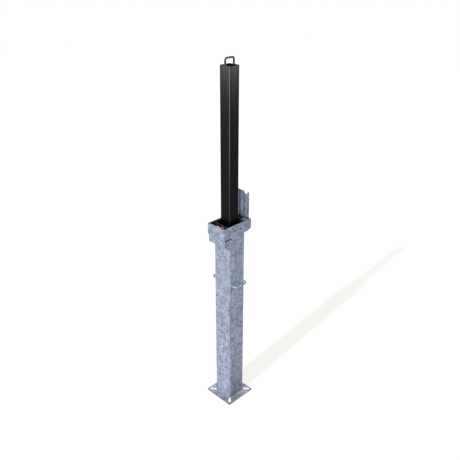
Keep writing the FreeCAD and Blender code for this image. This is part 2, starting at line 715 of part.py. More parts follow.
def make_bush_screws():
    """Four countersunk screws through the bush's flange into the guide ring."""
    return sunk_screws("bush_screws", "bush_screw_at", "bush_top", "bush_screw_dia",
                       "bush_screw_head", "bush_screw_length", FreeCAD.Rotation())


def make_bottom_buffer():
    """Rubber pad on the base plate, open over the drain hole."""
    body = square_plate("bottom_buffer", "buffer_side / 2", "plate_corner", "plate_thick", "buffer_thick")
    hole = new_sketch(body, "buffer_hole", "XY_Plane", "plate_thick")
    pocket(body, circle(hole, "0", "0", "drain_dia / 2"), "buffer_thick")
    return body


# Lock

def make_lock_housing():
    """Block against the tube with a bore for the bolt and a chamber for the barrel and its cam."""
    body = new_body("lock_housing")
    block = new_sketch(body, "housing_outline", "XY_Plane", "housing_bottom")
    rectangle(block, "housing_end", "-socket_half", "-housing_near_side", "housing_far_side")
    pad(body, block, "housing_top - housing_bottom")
    outer = amount("housing_end") + NEAR
    chamfer(body, "housing_edge", lambda at, along: parallel(along, UP) and at.x < outer)
    bore = new_sketch(body, "housing_bolt_bore", "YZ_Plane", "bolt_rear - bolt_tail_gap")
    circle(bore, "-bolt_offset", "bolt_height", "bolt_bore")
    pocket(body, bore, "-socket_half - bolt_rear + bolt_tail_gap")
    chamber = new_sketch(body, "housing_chamber", "XY_Plane", "bolt_height")
    circle(chamber, "barrel_across", "-barrel_offset", "barrel_dia / 2 + barrel_clear")
    pocket(body, chamber, "housing_top - bolt_height")
    seat = new_sketch(body, "housing_stud_hole", "XY_Plane", "stud_bottom")
    pocket(body, circle(seat, "stud_across", "stud_offset", "stud_shank / 2 + stud_clear"), "stud_shank_length")
    housing_holes(body, "housing_screw_tip", "-socket_half - housing_screw_tip")
    return body


def make_housing_screws():
    """Two screws from inside the tube into the lock housing."""
    screws = []
    for name, side in (("near", "housing_screw_edge - housing_near_side"),
                       ("far", "housing_far_side - housing_screw_edge")):
        at = (side, "housing_screw_height", ALONG_X)
        head = cylinder("housing_%s_head" % name, "housing_screw_head / 2", "housing_head_thick",
                        "housing_screw_face", *at)
        shank = cylinder("housing_%s_shank" % name, "housing_screw_dia / 2",
                         "housing_screw_face - housing_screw_tip", "housing_screw_tip", *at)
        screws.append(fuse("housing_%s_screw" % name, [head, shank]))
    return group("housing_screws", screws)


def make_lid_buffer():
    """Nylon stud with a rounded head, its top level with the tube's rim."""
    body = new_body("lid_buffer")
    shank = new_sketch(body, "stud_shank_section", "XY_Plane", "stud_bottom")
    pad(body, circle(shank, "stud_across", "stud_offset", "stud_shank / 2"), "stud_shank_length")
    head = new_sketch(body, "stud_head_section", "XY_Plane", "housing_top")
    pad(body, circle(head, "stud_across", "stud_offset", "stud_dia / 2"), "socket_top - housing_top")
    top = amount("socket_top") - NEAR
    fillet(body, "stud_dome", lambda at, along: at.z > top)
    return body


def lock_circle(body, name, start, radius):
    """A circle about the lock barrel's axis."""
    sketch = new_sketch(body, name, "XY_Plane", start)
    return circle(sketch, "barrel_across", "-barrel_offset", radius)


def make_lock_barrel():
    """Barrel with a flange over the housing and a key hole in its top."""
    body = new_body("lock_barrel")
    pad(body, lock_circle(body, "barrel_stem", "cam_top", "barrel_dia / 2"), "barrel_top - cam_top")
    flange = lock_circle(body, "barrel_flange", "housing_top + flange_gap", "cover_half")
    pad(body, flange, "flange_thick")
    thread = lock_circle(body, "barrel_thread", "cam_top", "cam_screw_dia / 2 + screw_clear")
    pocket(body, thread, "cam_screw_length - cam_thick + cam_head_thick")
    key = new_sketch(body, "key_hole", "XY_Plane", "barrel_top - key_depth")
    reach = "(key_length - key_width) / 2"
    slot(key, "barrel_across - " + reach, "barrel_across + " + reach, "-barrel_offset", "key_width / 2")
    pocket(body, key, "key_depth")
    return body


def make_lock_cap():
    """Round cap with a recess that sits over the barrel's head."""
    body = new_body("lock_cap")
    start = "barrel_top + cover_roof - cover_depth"
    pad(body, lock_circle(body, "cap_outline", start, "cover_half"), "cover_depth")
    top = amount("barrel_top + cover_roof") - NEAR
    fillet(body, "cover_edge", lambda at, along: at.z > top)
    recess = lock_circle(body, "cap_recess", start, "barrel_dia / 2 + cover_fit")
    pocket(body, recess, "cover_depth - cover_roof")
    return body


def make_lock_cam():
    """Disc under the barrel with a crank pin that stands in the bolt's notch."""
    body = new_body("lock_cam")
    pad(body, lock_circle(body, "cam_outline", "cam_bottom", "barrel_dia / 2"), "cam_thick")
    crank = new_sketch(body, "crank_section", "XY_Plane", "bolt_top - crank_reach")
    circle(crank, "crank_across", "-barrel_offset - crank_swing", "crank_dia / 2")
    pad(body, crank, "crank_reach + cam_lift + cam_thick")
    hole = lock_circle(body, "cam_hole", "cam_bottom", "cam_screw_dia / 2 + screw_clear")
    pocket(body, hole, "cam_thick")
    seat = lock_circle(body, "cam_seat", "cam_bottom", "cam_head + screw_clear")
    pocket(body, seat, "cam_head_thick")
    return body


def make_cam_screw():
    """Screw that holds the cam to the barrel, its head sunk in the disc."""
    at = ("barrel_across", "-barrel_offset")
    head = cylinder("cam_screw_top", "cam_head", "cam_head_thick", *at, "cam_bottom")
    shank = cylinder("cam_screw_shank", "cam_screw_dia / 2", "cam_screw_length",
                     *at, "cam_bottom + cam_head_thick")
    return fuse("cam_screw", [head, shank])


def make_lock_bolt():
    """Round bolt with a notch across its top for the crank pin."""
    body = new_body("lock_bolt")
    section = new_sketch(body, "bolt_section", "YZ_Plane", "bolt_rear")
    pad(body, circle(section, "-bolt_offset", "bolt_height", "bolt_dia / 2"), "bolt_tip - bolt_rear")
    nose = amount("bolt_tip") - NEAR
    chamfer(body, "bolt_nose", lambda at, along: at.x > nose)
    notch = new_sketch(body, "bolt_notch", "XZ_Plane", "bolt_offset - bolt_dia / 2")
    rectangle(notch, "crank_across - crank_half", "crank_across + crank_half",
              "bolt_top - crank_reach - crank_clear", "bolt_top")
    pocket(body, notch, "bolt_dia")
    return body


# Lid, modelled open: it stands on its hinge at the +X end

def make_lid_plate():
    """Flat plate with a finger notch in its free edge."""
    body = new_body("lid_plate")
    face = new_sketch(body, "lid_outline", "YZ_Plane", "lid_inside")
    rectangle(face, "-lid_half", "lid_half", "lid_bottom", "lid_top")
    pad(body, face, "lid_thick")
    fillet(body, "lid_corner", lambda at, along: parallel(along, RIGHT))
    notch = new_sketch(body, "finger_notch", "YZ_Plane", "lid_inside")
    pocket(body, circle(notch, "-finger_offset", "lid_top", "finger_radius"), "lid_thick")
    return body


def make_lid_strap(label, side):
    """Flat strap under the lid, its end rolled into an eye round the pin: side is 1 for +Y."""
    body = new_body(label)
    start = "%d * strap_span / 2 - strap_width / 2" % -side
    leaf = new_sketch(body, label + "_leaf", "XZ_Plane", start)
    rectangle(leaf, "lid_inside - strap_thick", "lid_inside", "hinge_height", "lid_top - strap_inset")
    pad(body, leaf, "strap_width")
    for name, radius, feature in (("eye", "eye_radius", pad), ("bore", "pin_bore", pocket)):
        sketch = new_sketch(body, "%s_%s" % (label, name), "XZ_Plane", start)
        feature(body, circle(sketch, "hinge_across", "hinge_height", radius), "strap_width")
    return body


# Post, modelled raised

def make_post_tube():
    """Square tube with the bolt's hole in its lock-side wall."""
    length = "post_top - cap_thick - post_bottom"
    body = square_plate("post_tube", "post_half", "post_corner", "post_bottom", length)
    square_opening(body, "(post_half - post_wall)", "(post_corner - post_wall)", "post_bottom", length)
    hole = new_sketch(body, "post_bolt_hole", "YZ_Plane", "-post_half")
    pocket(body, circle(hole, "-bolt_offset", "bolt_height", "bolt_hole"), "post_wall")
    return body


def make_post_cap():
    """Plate that closes the post's top."""
    body = square_plate("post_cap", "post_half", "post_corner", "post_top - cap_thick", "cap_thick")
    top = amount("post_top") - NEAR
    chamfer(body, "cap_chamfer", lambda at, along: at.z > top)
    return body


def make_lifting_handle():
    """U-bent round bar on the cap, in line with the lock and the hinge."""
    handle = bent_bar("lifting_handle", "handle_rod", "handle_span", "handle_rise", "handle_bend")
    return place(handle, "0", "0", "post_top")


def make_stop_plate():
    """Square ring on the post that meets the guide ring from below when the post is up."""
    body = square_plate("stop_plate", "foot_half", "bore_corner", "stop_bottom", "stop_thick")
    square_opening(body, "post_half", "post_corner", "stop_bottom", "stop_thick")
    return body


def make_foot_plate():
    """Plate that closes the post's lower end."""
    body = square_plate("foot_plate", "foot_half", "bore_corner", "foot_bottom", "foot_thick")
    screw_holes(body, "foot_screw_hole", "foot_bottom", "shoe_screw_at", "shoe_screw_dia", "foot_thick")
    return body


def make_foot_shoe():
    """Nylon shoe under the foot plate, with countersunk holes from below."""
    body = square_plate("foot_shoe", "shoe_half", "bore_corner", "shoe_bottom", "shoe_thick")
    screw_holes(body, "shoe_screw_hole", "shoe_bottom", "shoe_screw_at", "shoe_screw_dia", "shoe_thick")
    sink_holes(body, "shoe_bottom", "shoe_screw_at", "shoe_screw_dia", "shoe_screw_head")
    return body


def make_shoe_screws():
    """Four countersunk screws through the shoe into the foot plate."""
    return sunk_screws("shoe_screws", "shoe_screw_at", "shoe_bottom", "shoe_screw_dia",
                       "shoe_screw_head", "shoe_screw_length", UPSIDE_DOWN)


NODES = [
    make_base_plate(),
    make_socket_tube(),
    make_anchor_loop("anchor_loop_left", 1),
    make_anchor_loop("anchor_loop_right", -1),
    make_collar_frame(),
    make_hinge_pan(),
    make_hinge_ledge(),
    make_hinge_pin(),
    make_lock_pocket(),
    make_guide_ring(),
    make_guide_bush(),
    make_bush_screws(),
    make_bottom_buffer(),
    make_lock_housing(),
    make_housing_screws(),
    make_lid_buffer(),
    make_lock_barrel(),
    make_lock_cap(),
    make_lock_cam(),
    make_cam_screw(),
    make_lock_bolt(),
    make_lid_plate(),
    make_lid_strap("lid_strap_left", 1),
    make_lid_strap("lid_strap_right", -1),
    make_post_tube(),
    make_post_cap(),
    make_lifting_handle(),
    make_stop_plate(),
    make_foot_plate(),
    make_foot_shoe(),
    make_shoe_screws(),
]

doc.recompute()
for item in doc.Objects:
    if "Invalid" in item.State or "Error" in item.State:
        raise RuntimeError(item.Label + " failed")
for node in NODES:
    if node.Shape.isNull() or not node.Shape.isValid():
        raise RuntimeError(node.Label + " has no valid shape")
for node in NODES:
    node.Shape.exportStep("parts/%s.step" % node.Label)
    print(node.Label, len(node.Shape.Solids), round(node.Shape.Volume))
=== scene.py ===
"""Looks of the telescopic bollard: finishes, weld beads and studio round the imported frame."""
import logging
import math
from dataclasses import dataclass
from enum import Enum
from functools import partial, reduce

import bmesh
import bpy
import numpy as np
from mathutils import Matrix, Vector


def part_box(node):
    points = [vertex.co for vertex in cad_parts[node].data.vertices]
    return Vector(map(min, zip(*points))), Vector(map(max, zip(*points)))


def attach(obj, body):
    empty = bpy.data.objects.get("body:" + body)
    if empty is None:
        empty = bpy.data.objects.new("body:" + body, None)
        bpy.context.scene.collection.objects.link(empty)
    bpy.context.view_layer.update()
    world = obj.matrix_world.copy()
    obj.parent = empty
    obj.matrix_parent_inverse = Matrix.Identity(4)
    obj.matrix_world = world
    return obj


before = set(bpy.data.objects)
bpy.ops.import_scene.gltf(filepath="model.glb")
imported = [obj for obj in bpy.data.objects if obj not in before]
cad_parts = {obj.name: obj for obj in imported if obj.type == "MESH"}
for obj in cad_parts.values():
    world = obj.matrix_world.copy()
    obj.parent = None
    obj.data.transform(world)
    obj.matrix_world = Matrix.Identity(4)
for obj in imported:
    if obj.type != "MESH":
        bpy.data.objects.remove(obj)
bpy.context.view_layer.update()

Array = np.ndarray
Socket = bpy.types.NodeSocket
Pair = tuple[float, float]
Triple = tuple[float, float, float]
Colour = Triple
Weights = tuple[float, ...]
Box = tuple[Triple, Triple]
Line = tuple[Array, Array]
Shell = tuple[Array, Array, Array]

LOG = logging.getLogger("bollard")
QUARTER_TURN = math.pi / 2
FULL_TURN = 2 * math.pi
ORIGIN: Triple = (0.0, 0.0, 0.0)
UP = Vector((0, 0, 1))

# Places that the finishes and their shades are set from, in metres

PLATE_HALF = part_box("base_plate")[1].x
PLATE_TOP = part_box("base_plate")[1].z
TUBE_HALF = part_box("socket_tube")[1].x
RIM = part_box("collar_frame")[1].z
POST_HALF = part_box("post_tube")[1].x
POST_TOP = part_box("post_tube")[1].z
CAP_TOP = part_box("post_cap")[1].z
VENT_X = 0.024
VENT_HEIGHT = RIM - 0.032


class Slot(Enum):
    """Material slot names for galvanised steel and black paint."""

    STEEL = "galvanised_steel"
    PAINT = "black_paint"


class Body(Enum):
    """The moving bodies that the added pieces ride on."""

    SOCKET = "ground_socket"
    LID = "lid"
    POST = "post"


# Surfaces worked out with numpy


def ring(centre: Vector, normal: Vector, radius: float, step: float) -> Line:
    """Circle round a bar where it meets a face.

    Formula: centre + radius * (u cos a + v sin a), with u and v two unit directions square
    to the face's normal.

    Args:
        centre: the circle's centre.
        normal: the face's normal.
        radius: the bar's radius.
        step: spacing of the points.

    Returns:
        Points of the closed circle and their outward directions.
    """
    first = np.array(normal.orthogonal().normalized())
    second = np.cross(np.array(normal), first)
    count = round(FULL_TURN * radius / step)
    angle = np.arange(count) * FULL_TURN / count
    outward = np.cos(angle)[:, None] * first + np.sin(angle)[:, None] * second
    return np.array(centre) + radius * outward, outward


def straight(start: Vector, end: Vector, outward: Vector, step: float) -> Line:
    """Straight run between two points.

    Formula: start + t * (end - start), with t spread evenly from 0 to 1.

    Args:
        start: the first point.
        end: the last point.
        outward: the direction that the run's first leg lies in.
        step: spacing of the points.

    Returns:
        Points of the run and the outward direction at each.
    """
    first, last = np.array(start), np.array(end)
    count = round(np.linalg.norm(last - first) / step)
    share = np.linspace(0.0, 1.0, count + 1)[:, None]
    return first + share * (last - first), np.tile(np.array(outward), (count + 1, 1))


def sweep(path: Array, outward: Array, up: Array, profile: Array, closed: bool) -> Shell:
    """Carry a closed profile along a path.

    Formula: P(i, j) = path(i) + outward(i) * profile(i, j, 0) + up * profile(i, j, 1), with
    quads between neighbours in i and j; an open path gets a flat face at each end.

    Args:
        path: points of the path.
        outward: the profile's first direction at each point.
        up: the profile's second direction.
        profile: closed outline at each point.
        closed: whether the path joins its own start.

    Returns:
        The points, the quads and the end faces.
    """
    points = path[:, None, :] + outward[:, None, :] * profile[..., :1] + up * profile[..., 1:]
    rows, columns = points.shape[:2]
    lengthways = np.arange(rows if closed else rows - 1)
    row, column = np.meshgrid(lengthways, np.arange(columns), indexing="ij")
    row_next = (row + 1) % rows
    column_next = (column + 1) % columns
    corners = [(row, column), (row, column_next), (row_next, column_next), (row_next, column)]
    quads = np.stack([i * columns + j for i, j in corners], axis=-1).reshape(-1, 4)
    end_rows = np.array([] if closed else [0, rows - 1], dtype=int)
    ends = end_rows[:, None] * columns + np.arange(columns)
    return points.reshape(-1, 3), quads, ends


@dataclass(frozen=True)
class Bead:
    """A rippled weld bead, carried along a line in the corner of two faces."""

    leg: float
    hollow: float = 0.14
    ripple: float = 0.09
    pitch: float = 0.0026
    step: float = 0.0009
    seat: float = 0.0003
    arc_points: int = 7
    sways: tuple[Triple, ...] = ((0.05, 5.3, 0.7), (0.04, 13.1, 0.0))
    end_steps: float = 3.0
    end_least: float = 0.45

    def surface(self, path: Array, outward: Array, up: Vector, closed: bool) -> Shell:
        """Work out the bead's grid.

        Formula: P(s, t) = path(s) + r(s, t) * (outward(s) cos t + up sin t), where
        r = leg * (1 - hollow sin 2t) * (1 + ripple sin(2 pi s / pitch)) * (1 + slow sways),
        and a sway is share * sin(2 pi s / (pitch * slowness) + start); an open bead grows from
        end_least over its first steps. One more row of points lies a little inside the corner
        and closes the profile.

        Args:
            path: points along the corner.
            outward: direction of the first face at each point.
            up: direction of the second face.
            closed: whether the path joins its own start.

        Returns:
            The points, the quads and the end faces.
        """
        count = len(path)
        along = np.arange(count)
        waves = round(count * self.step / self.pitch)
        phase = FULL_TURN * waves * along / count
        sway = sum(share * np.sin(phase / slowness + start) for share, slowness, start in self.sways)
        swell = (1.0 + self.ripple * np.sin(phase)) * (1.0 + sway)
        if not closed:
            from_end = np.minimum(along, count - 1 - along)
            swell *= np.clip(from_end / self.end_steps, self.end_least, 1.0)
        turn = np.linspace(0.0, QUARTER_TURN, self.arc_points)
        reach = self.leg * (1.0 - self.hollow * np.sin(2.0 * turn))
        profile = np.stack([reach * np.cos(turn), reach * np.sin(turn)], axis=1)
        grown = profile[None, :, :] * swell[:, None, None]
        grown[:, 0, 1] = -self.seat
        grown[:, -1, 0] = -self.seat
        corner = np.full((count, 1, 2), -self.seat)
        return sweep(path, outward, np.array(up), np.concatenate([grown, corner], axis=1), closed)

    def along(self, start: Vector, end: Vector, outward: Vector, up: Vector) -> Shell:
        """Bead along a straight corner whose two faces lie in the directions outward and up."""
        return self.surface(*straight(start, end, outward, self.step), up, closed=False)

    def around(self, centre: Vector, normal: Vector, radius: float) -> Shell:
        """Bead round a bar of some radius where it meets a face with some normal."""
        return self.surface(*ring(centre, normal, radius, self.step), normal, closed=True)


def merge(shells: list[Shell]) -> Shell:
    """Put several shells into one, each one's points after those before it.

    Args:
        shells: points, quads and end faces of each.

    Returns:
        The points, the quads and the end faces of all.
    """
    points, *kinds = zip(*shells)
    starts = np.cumsum([0] + [len(rows) for rows in points])
    quads, ends = (np.vstack([rows + first for rows, first in zip(kind, starts)]) for kind in kinds)
    return np.vstack(points), quads, ends


def make_piece(name: str, shells: list[Shell], finish: "Finish", body: Body) -> None:
    """Turn shells into one dressed piece that rides on its body.

    Args:
        name: the piece's name.
        shells: points, quads and end faces of each.
        finish: what it is dressed with.
        body: what it rides on.
    """
    points, quads, ends = merge(shells)
    mesh = bpy.data.meshes.new(name)
    mesh.from_pydata(points.tolist(), [], quads.tolist() + ends.tolist())
    shell = bmesh.new()
    shell.from_mesh(mesh)
    bmesh.ops.recalc_face_normals(shell, faces=shell.faces[:])
    shell.to_mesh(mesh)
    shell.free()
    mesh.polygons.foreach_set("use_smooth", np.ones(len(mesh.polygons), dtype=bool))
    mesh.materials.append(finish.material())
    piece = bpy.data.objects.new(name, mesh)
    bpy.context.scene.collection.objects.link(piece)
    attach(piece, body.value)
    LOG.info("piece %s: %d vertices on %s", name, len(points), body.value)


# Finishes


class Shader:
    """A material's node tree, put together one node at a time."""

    def __init__(self, name: str) -> None:
        """Start a material with its surface shader and object coordinates.

        Args:
            name: the material's name.
        """
        self.material = bpy.data.materials.new(name)
        self.material.use_nodes = True
        self.tree = self.material.node_tree
        self.surface = self.tree.nodes["Principled BSDF"]
        self.place = self.tree.nodes.new("ShaderNodeTexCoord").outputs["Object"]

    def feed(self, socket: Socket, value: object) -> None:
        """Link an output to a socket, or set the socket's number.

        Args:
            socket: what is fed.
            value: an output socket, a number or a tuple.
        """
        if isinstance(value, Socket):
            self.tree.links.new(value, socket)
        else:
            socket.default_value = value

    def node(self, kind: str, inputs: dict, **settings: object) -> bpy.types.Node:
        """Add a node.

        Args:
            kind: the node's type, without the prefix that all of them share.
            inputs: values by socket name or number.
            settings: the node's own options.

        Returns:
            The node.
        """
        node = self.tree.nodes.new(f"ShaderNode{kind}")
        for key, value in settings.items():
            setattr(node, key, value)
        for key, value in inputs.items():
            self.feed(node.inputs[key], value)
        return node

    def shifted(self, offset: Triple, stretch: Triple = (1.0, 1.0, 1.0)) -> Socket:
        """Object coordinates times a stretch along each axis, and then moved."""
        inputs = {"Vector": self.place, "Location": offset, "Scale": stretch}
        return self.node("Mapping", inputs).outputs["Vector"]

    def noise(self, where: Socket, size: float, detail: float) -> Socket:
        """Soft noise from 0 to 1 whose blotches are about as wide as size; detail is its octaves."""
        inputs = {"Vector": where, "Scale": 1.0 / size, "Detail": detail}
        return self.node("TexNoise", inputs).outputs["Fac"]

    def cells(self, where: Socket, size: float) -> Socket:
        """One random value from 0 to 1 for each cell of a crystal pattern, about as wide as size."""
        colour = self.node("TexVoronoi", {"Vector": where, "Scale": 1.0 / size}).outputs["Color"]
        return self.node("SeparateColor", {"Color": colour}).outputs["Red"]

    def math(self, operation: str, first: object, second: object = 0.0) -> Socket:
        """Result of one sum on one or two values."""
        return self.node("Math", {0: first, 1: second}, operation=operation).outputs[0]

    def product(self, *values: object) -> Socket:
        """Values multiplied together."""
        return reduce(partial(self.math, "MULTIPLY"), values)

    def distance(self, first: object, second: object = 0.0) -> Socket:
        """How far apart two values are."""
        return self.math("ABSOLUTE", self.math("SUBTRACT", first, second))

    def outside(self, mask: Socket) -> Socket:
        """One less a mask: what it leaves out."""
        return self.math("SUBTRACT", 1.0, mask)

    def weighed(self, values: tuple[Socket, ...], weights: Weights) -> Socket:
        """Sum of values, each times its weight."""
        parts = [self.math("MULTIPLY", value, weight) for value, weight in zip(values, weights)]
        return reduce(partial(self.math, "ADD"), parts)

    def span(self, value: object, source: Pair, target: Pair) -> Socket:
        """Map a value's range onto another, smoothly and held at its ends."""
        inputs = dict(enumerate((value, *source, *target)))
        return self.node("MapRange", inputs, interpolation_type="SMOOTHSTEP").outputs["Result"]

    def ramp(self, value: Socket, colours: tuple[Colour, ...]) -> Socket:
        """Colour read from a value.

        Args:
            value: from 0 to 1.
            colours: spread evenly over that range.

        Returns:
            The colour.
        """
        node = self.node("ValToRGB", {"Fac": value})
        elements = node.color_ramp.elements
        while len(elements) < len(colours):
            elements.new(1.0)
        for index, (element, colour) in enumerate(zip(elements, colours)):
            element.position = index / (len(colours) - 1)
            element.color = (*colour, 1.0)
        return node.outputs["Color"]

    def mix(self, share: object, first: object, second: object) -> Socket:
        """Blend of two colours, with some share of the second."""
        first, second = (c if isinstance(c, Socket) else (*c, 1.0) for c in (first, second))
        return self.node("Mix", {0: share, 6: first, 7: second}, data_type="RGBA").outputs[2]

    def dimmed(self, colour: object, level: object) -> Socket:
        """Colour times a level."""
        return self.node("VectorMath", {0: colour, "Scale": level}, operation="SCALE").outputs[0]

    def added(self, first: object, second: object) -> Socket:
        """Sum of two colours."""
        return self.node("VectorMath", {0: first, 1: second}, operation="ADD").outputs[0]

    def axes(self) -> list[Socket]:
        """The three object coordinates, apart."""
        return list(self.node("SeparateXYZ", {0: self.place}).outputs)

    def inside(self, boxes: tuple[Box, ...]) -> Socket:
        """One within any of some boxes, nought outside; both sides of the middle plane count.

        Args:
            boxes: low and high corners of each, with y as the distance from the middle plane.

        Returns:
            The mask.
        """
        across, deep, height = self.axes()
        axes = (across, self.distance(deep), height)
        masks = []
        for low, high in boxes:
            near = (
                self.math("LESS_THAN", self.distance(axis, (start + end) / 2), (end - start) / 2)
                for axis, start, end in zip(axes, low, high)
            )
            masks.append(self.product(*near))
        return reduce(partial(self.math, "MAXIMUM"), masks)

    def shaded(self, level: object, boxes: tuple[Box, ...], shade: float) -> object:
        """Change a level within some boxes.

        Args:
            level: the level outside them.
            boxes: low and high corners of each.
            shade: factor inside them.

        Returns:
            The level.
        """
        if not boxes:
            return level
        return self.product(self.span(self.inside(boxes), (0.0, 1.0), (1.0, shade)), level)

    def bump(self, height: Socket, depth: float, strength: float) -> None:
        """Shade the surface as if it rose with a value, depth metres at a value of one."""
        inputs = {"Height": height, "Distance": depth, "Strength": strength}
        self.feed(self.surface.inputs["Normal"], self.node("Bump", inputs).outputs["Normal"])

    def finish(self, colour: object, roughness: object, **constants: float) -> bpy.types.Material:
        """Feed the surface shader and hand the material over.

        Args:
            colour: base colour.
            roughness: value or socket.
            constants: numbers for its other sockets, with underscores for spaces.

        Returns:
            The material.
        """
        self.feed(self.surface.inputs["Base Color"], colour)
        self.feed(self.surface.inputs["Roughness"], roughness)
        for key, value in constants.items():
            self.surface.inputs[key.replace("_", " ")].default_value = value
        return self.material


class Finish:
    """Something that pieces and nodes are dressed with; one material is made for each."""

    made: dict["Finish", bpy.types.Material] = {}

    def make(self) -> bpy.types.Material:
        """Build the material's nodes."""
        raise NotImplementedError

    def material(self) -> bpy.types.Material:
        """Hand the material over, made on first use.

        Returns:
            The material.
        """
        if self not in Finish.made:
            Finish.made[self] = self.make()
        return Finish.made[self]

    def dress(self, *nodes: str) -> None:
        """Put the material on CAD nodes.

        Args:
            nodes: their names.
        """
        for name in nodes:
            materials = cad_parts[name].data.materials
            materials.clear()
            materials.append(self.material())
            LOG.info("node %s wears %s", name, self.material().name)


@dataclass(frozen=True)
class GalvanisedSteel(Finish):
    """Hot-dip zinc on steel: crystals, soft clouds, faint runs and dark flecks, dull and bluish."""

    name: str
    offset: Triple = ORIGIN
    level: float = 1.0
    shaded: tuple[Box, ...] = ()
    shade: float = 0.12
    dark: Colour = (0.262, 0.298, 0.412)
    middle: Colour = (0.395, 0.447, 0.612)
    pale: Colour = (0.520, 0.600, 0.770)
    spangle: float = 0.011
    cloud: float = 0.035
    run_width: float = 0.016
    run_stretch: float = 0.12
    colour_weights: Weights = (0.24, 0.56, 0.42, 0.34)
    colour_range: Pair = (0.53, 1.03)
    fleck: float = 0.0095
    fleck_stretch: float = 0.6
    fleck_range: Pair = (0.52, 0.63)
    fleck_level: float = 0.71
    foot_height: float = 0.42
    foot_level: float = 0.97
    foot_side_level: float = 0.68
    side_start: float = TUBE_HALF - 0.0003
    slope: Triple = ORIGIN
    slope_range: Pair = (0.0, 1.0)
    slope_levels: Pair = (1.0, 1.0)
    metal: float = 0.20
    rough_weights: Weights = (0.5, 0.5)
    rough_range: Pair = (0.2, 0.8)
    roughness: Pair = (0.62, 0.44)
    relief_weights: Weights = (0.6, 0.3, 0.1)
    relief_depth: float = 0.0006
    relief_strength: float = 0.5

    def make(self) -> bpy.types.Material:
        """Crystal cells, clouds and vertical runs weighed into one value, then coloured.

        Returns:
            The material.
        """
        shader = Shader(self.name)
        place = shader.shifted(self.offset)
        runs = shader.shifted(self.offset, (1.0, 1.0, self.run_stretch))
        wobble = shader.noise(place, self.spangle, detail=2.0)
        crystals = shader.cells(place, self.spangle)
        clouds = shader.noise(place, self.cloud, detail=4.0)
        streaks = shader.noise(runs, self.run_width, detail=3.0)
        value = shader.weighed((crystals, clouds, streaks, wobble), self.colour_weights)
        value = shader.span(value, self.colour_range, (0.0, 1.0))
        colour = shader.ramp(value, (self.dark, self.middle, self.pale))
        colour = self.painted_shade_and_light(shader, shader.dimmed(colour, self.levels(shader)))
        relief = shader.weighed((clouds, wobble, crystals), self.relief_weights)
        shader.bump(relief, self.relief_depth, self.relief_strength)
        dullness = shader.weighed((crystals, clouds), self.rough_weights)
        roughness = shader.span(dullness, self.rough_range, self.roughness)
        return shader.finish(colour, roughness, Metallic=self.metal)

    def levels(self, shader: Shader) -> Socket:
        """Product of flecks, darkening towards the foot, slope and boxes of painted shade and light.

        The darkening towards the foot is deeper on the two faces square to y. The slope changes the
        level slowly along one direction.

        Args:
            shader: the material being made.

        Returns:
            The level.
        """
        flecks = shader.shifted(self.offset, (1.0, 1.0, self.fleck_stretch))
        flecks = shader.noise(flecks, self.fleck, detail=1.0)
        flecks = shader.span(flecks, self.fleck_range, (1.0, self.fleck_level))
        _, deep, height = shader.axes()
        side = shader.math("GREATER_THAN", shader.distance(deep), self.side_start)
        plain = shader.span(height, (0.0, self.foot_height), (self.foot_level, 1.0))
        side_foot_level = shader.span(height, (0.0, self.foot_height), (self.foot_side_level, 1.0))
        side_darkening = shader.product(side, shader.math("SUBTRACT", plain, side_foot_level))
        level = shader.product(shader.math("SUBTRACT", plain, side_darkening), self.level, flecks)
        if any(self.slope):
            inputs = {0: shader.place, 1: self.slope}
            along = shader.node("VectorMath", inputs, operation="DOT_PRODUCT").outputs["Value"]
            level = shader.product(level, shader.span(along, self.slope_range, self.slope_levels))
        # Painted shade and painted light inside the boxes
        return shader.shaded(level, self.shaded, self.shade)

    def painted_shade_and_light(self, shader: Shader, colour: Socket) -> Socket:
        """Colour with a part's painted shade and light added; plain zinc has none."""
        return colour


@dataclass(frozen=True)
class VentedZinc(GalvanisedSteel):
    """Zinc with painted shade round the collar's two vents on each side."""

    vent_shade_start: float = TUBE_HALF - 0.0005
    vent_shade_range: Pair = (0.0040, 0.0072)
    vent_shade_level: float = 0.10

    def painted_shade_and_light(self, shader: Shader, colour: Socket) -> Socket:
        """Painted shade: darken as a function of the distance from the nearest vent's middle.

        Args:
            shader: the material being made.
            colour: colour without the marks.

        Returns:
            colour: colour without the painted shade.
        """
        across, deep, height = shader.axes()
        beside = shader.math("SUBTRACT", shader.distance(across), VENT_X)
        above = shader.math("SUBTRACT", height, VENT_HEIGHT)
        square = shader.math("ADD", shader.math("POWER", beside, 2.0), shader.math("POWER", above, 2.0))
        dark = shader.span(shader.math("SQRT", square), self.vent_shade_range, (self.vent_shade_level, 1.0))
        face = shader.math("GREATER_THAN", shader.distance(deep), self.vent_shade_start)
        return shader.dimmed(colour, shader.math("MAXIMUM", dark, shader.outside(face)))


@dataclass(frozen=True)
class PlateZinc(GalvanisedSteel):
    """Zinc of the base plate: slot walls painted near white as painted light, and a painted shade rim
    round each slot.
    """

    wall: Colour = (0.93, 0.94, 0.93)
    wall_edge: float = 0.0109
    wall_top: float = PLATE_TOP - 0.00007
    wall_end: float = PLATE_HALF - 0.0015
    rim_edge: float = 0.0150
    rim_level: float = 0.66
    slot_start: float = 0.114

    def painted_shade_and_light(self, shader: Shader, colour: Socket) -> Socket:
        """Painted shade and light as functions of the distance from the plate's diagonals, | |x| - |y|
        |.

        Args:
            shader: the material being made.
            colour: colour without the painted shade and light.

        Returns:
            The colour.
        """
        across, deep, height = shader.axes()
        across, deep = shader.distance(across), shader.distance(deep)
        away = shader.distance(across, deep)
        outer = shader.math("GREATER_THAN", shader.math("ADD", across, deep), self.slot_start)
        # Painted shade: a dark rim round each slot
        rim = shader.span(away, (self.wall_edge, self.rim_edge), (self.rim_level, 1.0))
        colour = shader.dimmed(colour, shader.math("MAXIMUM", rim, shader.outside(outer)))
        # Painted light: the slot walls near white
        beside = shader.math("LESS_THAN", away, self.wall_edge)
        under = shader.math("LESS_THAN", height, self.wall_top)
        within = shader.math("LESS_THAN", shader.math("MAXIMUM", across, deep), self.wall_end)
        return shader.mix(shader.product(outer, beside, under, within), colour, self.wall)


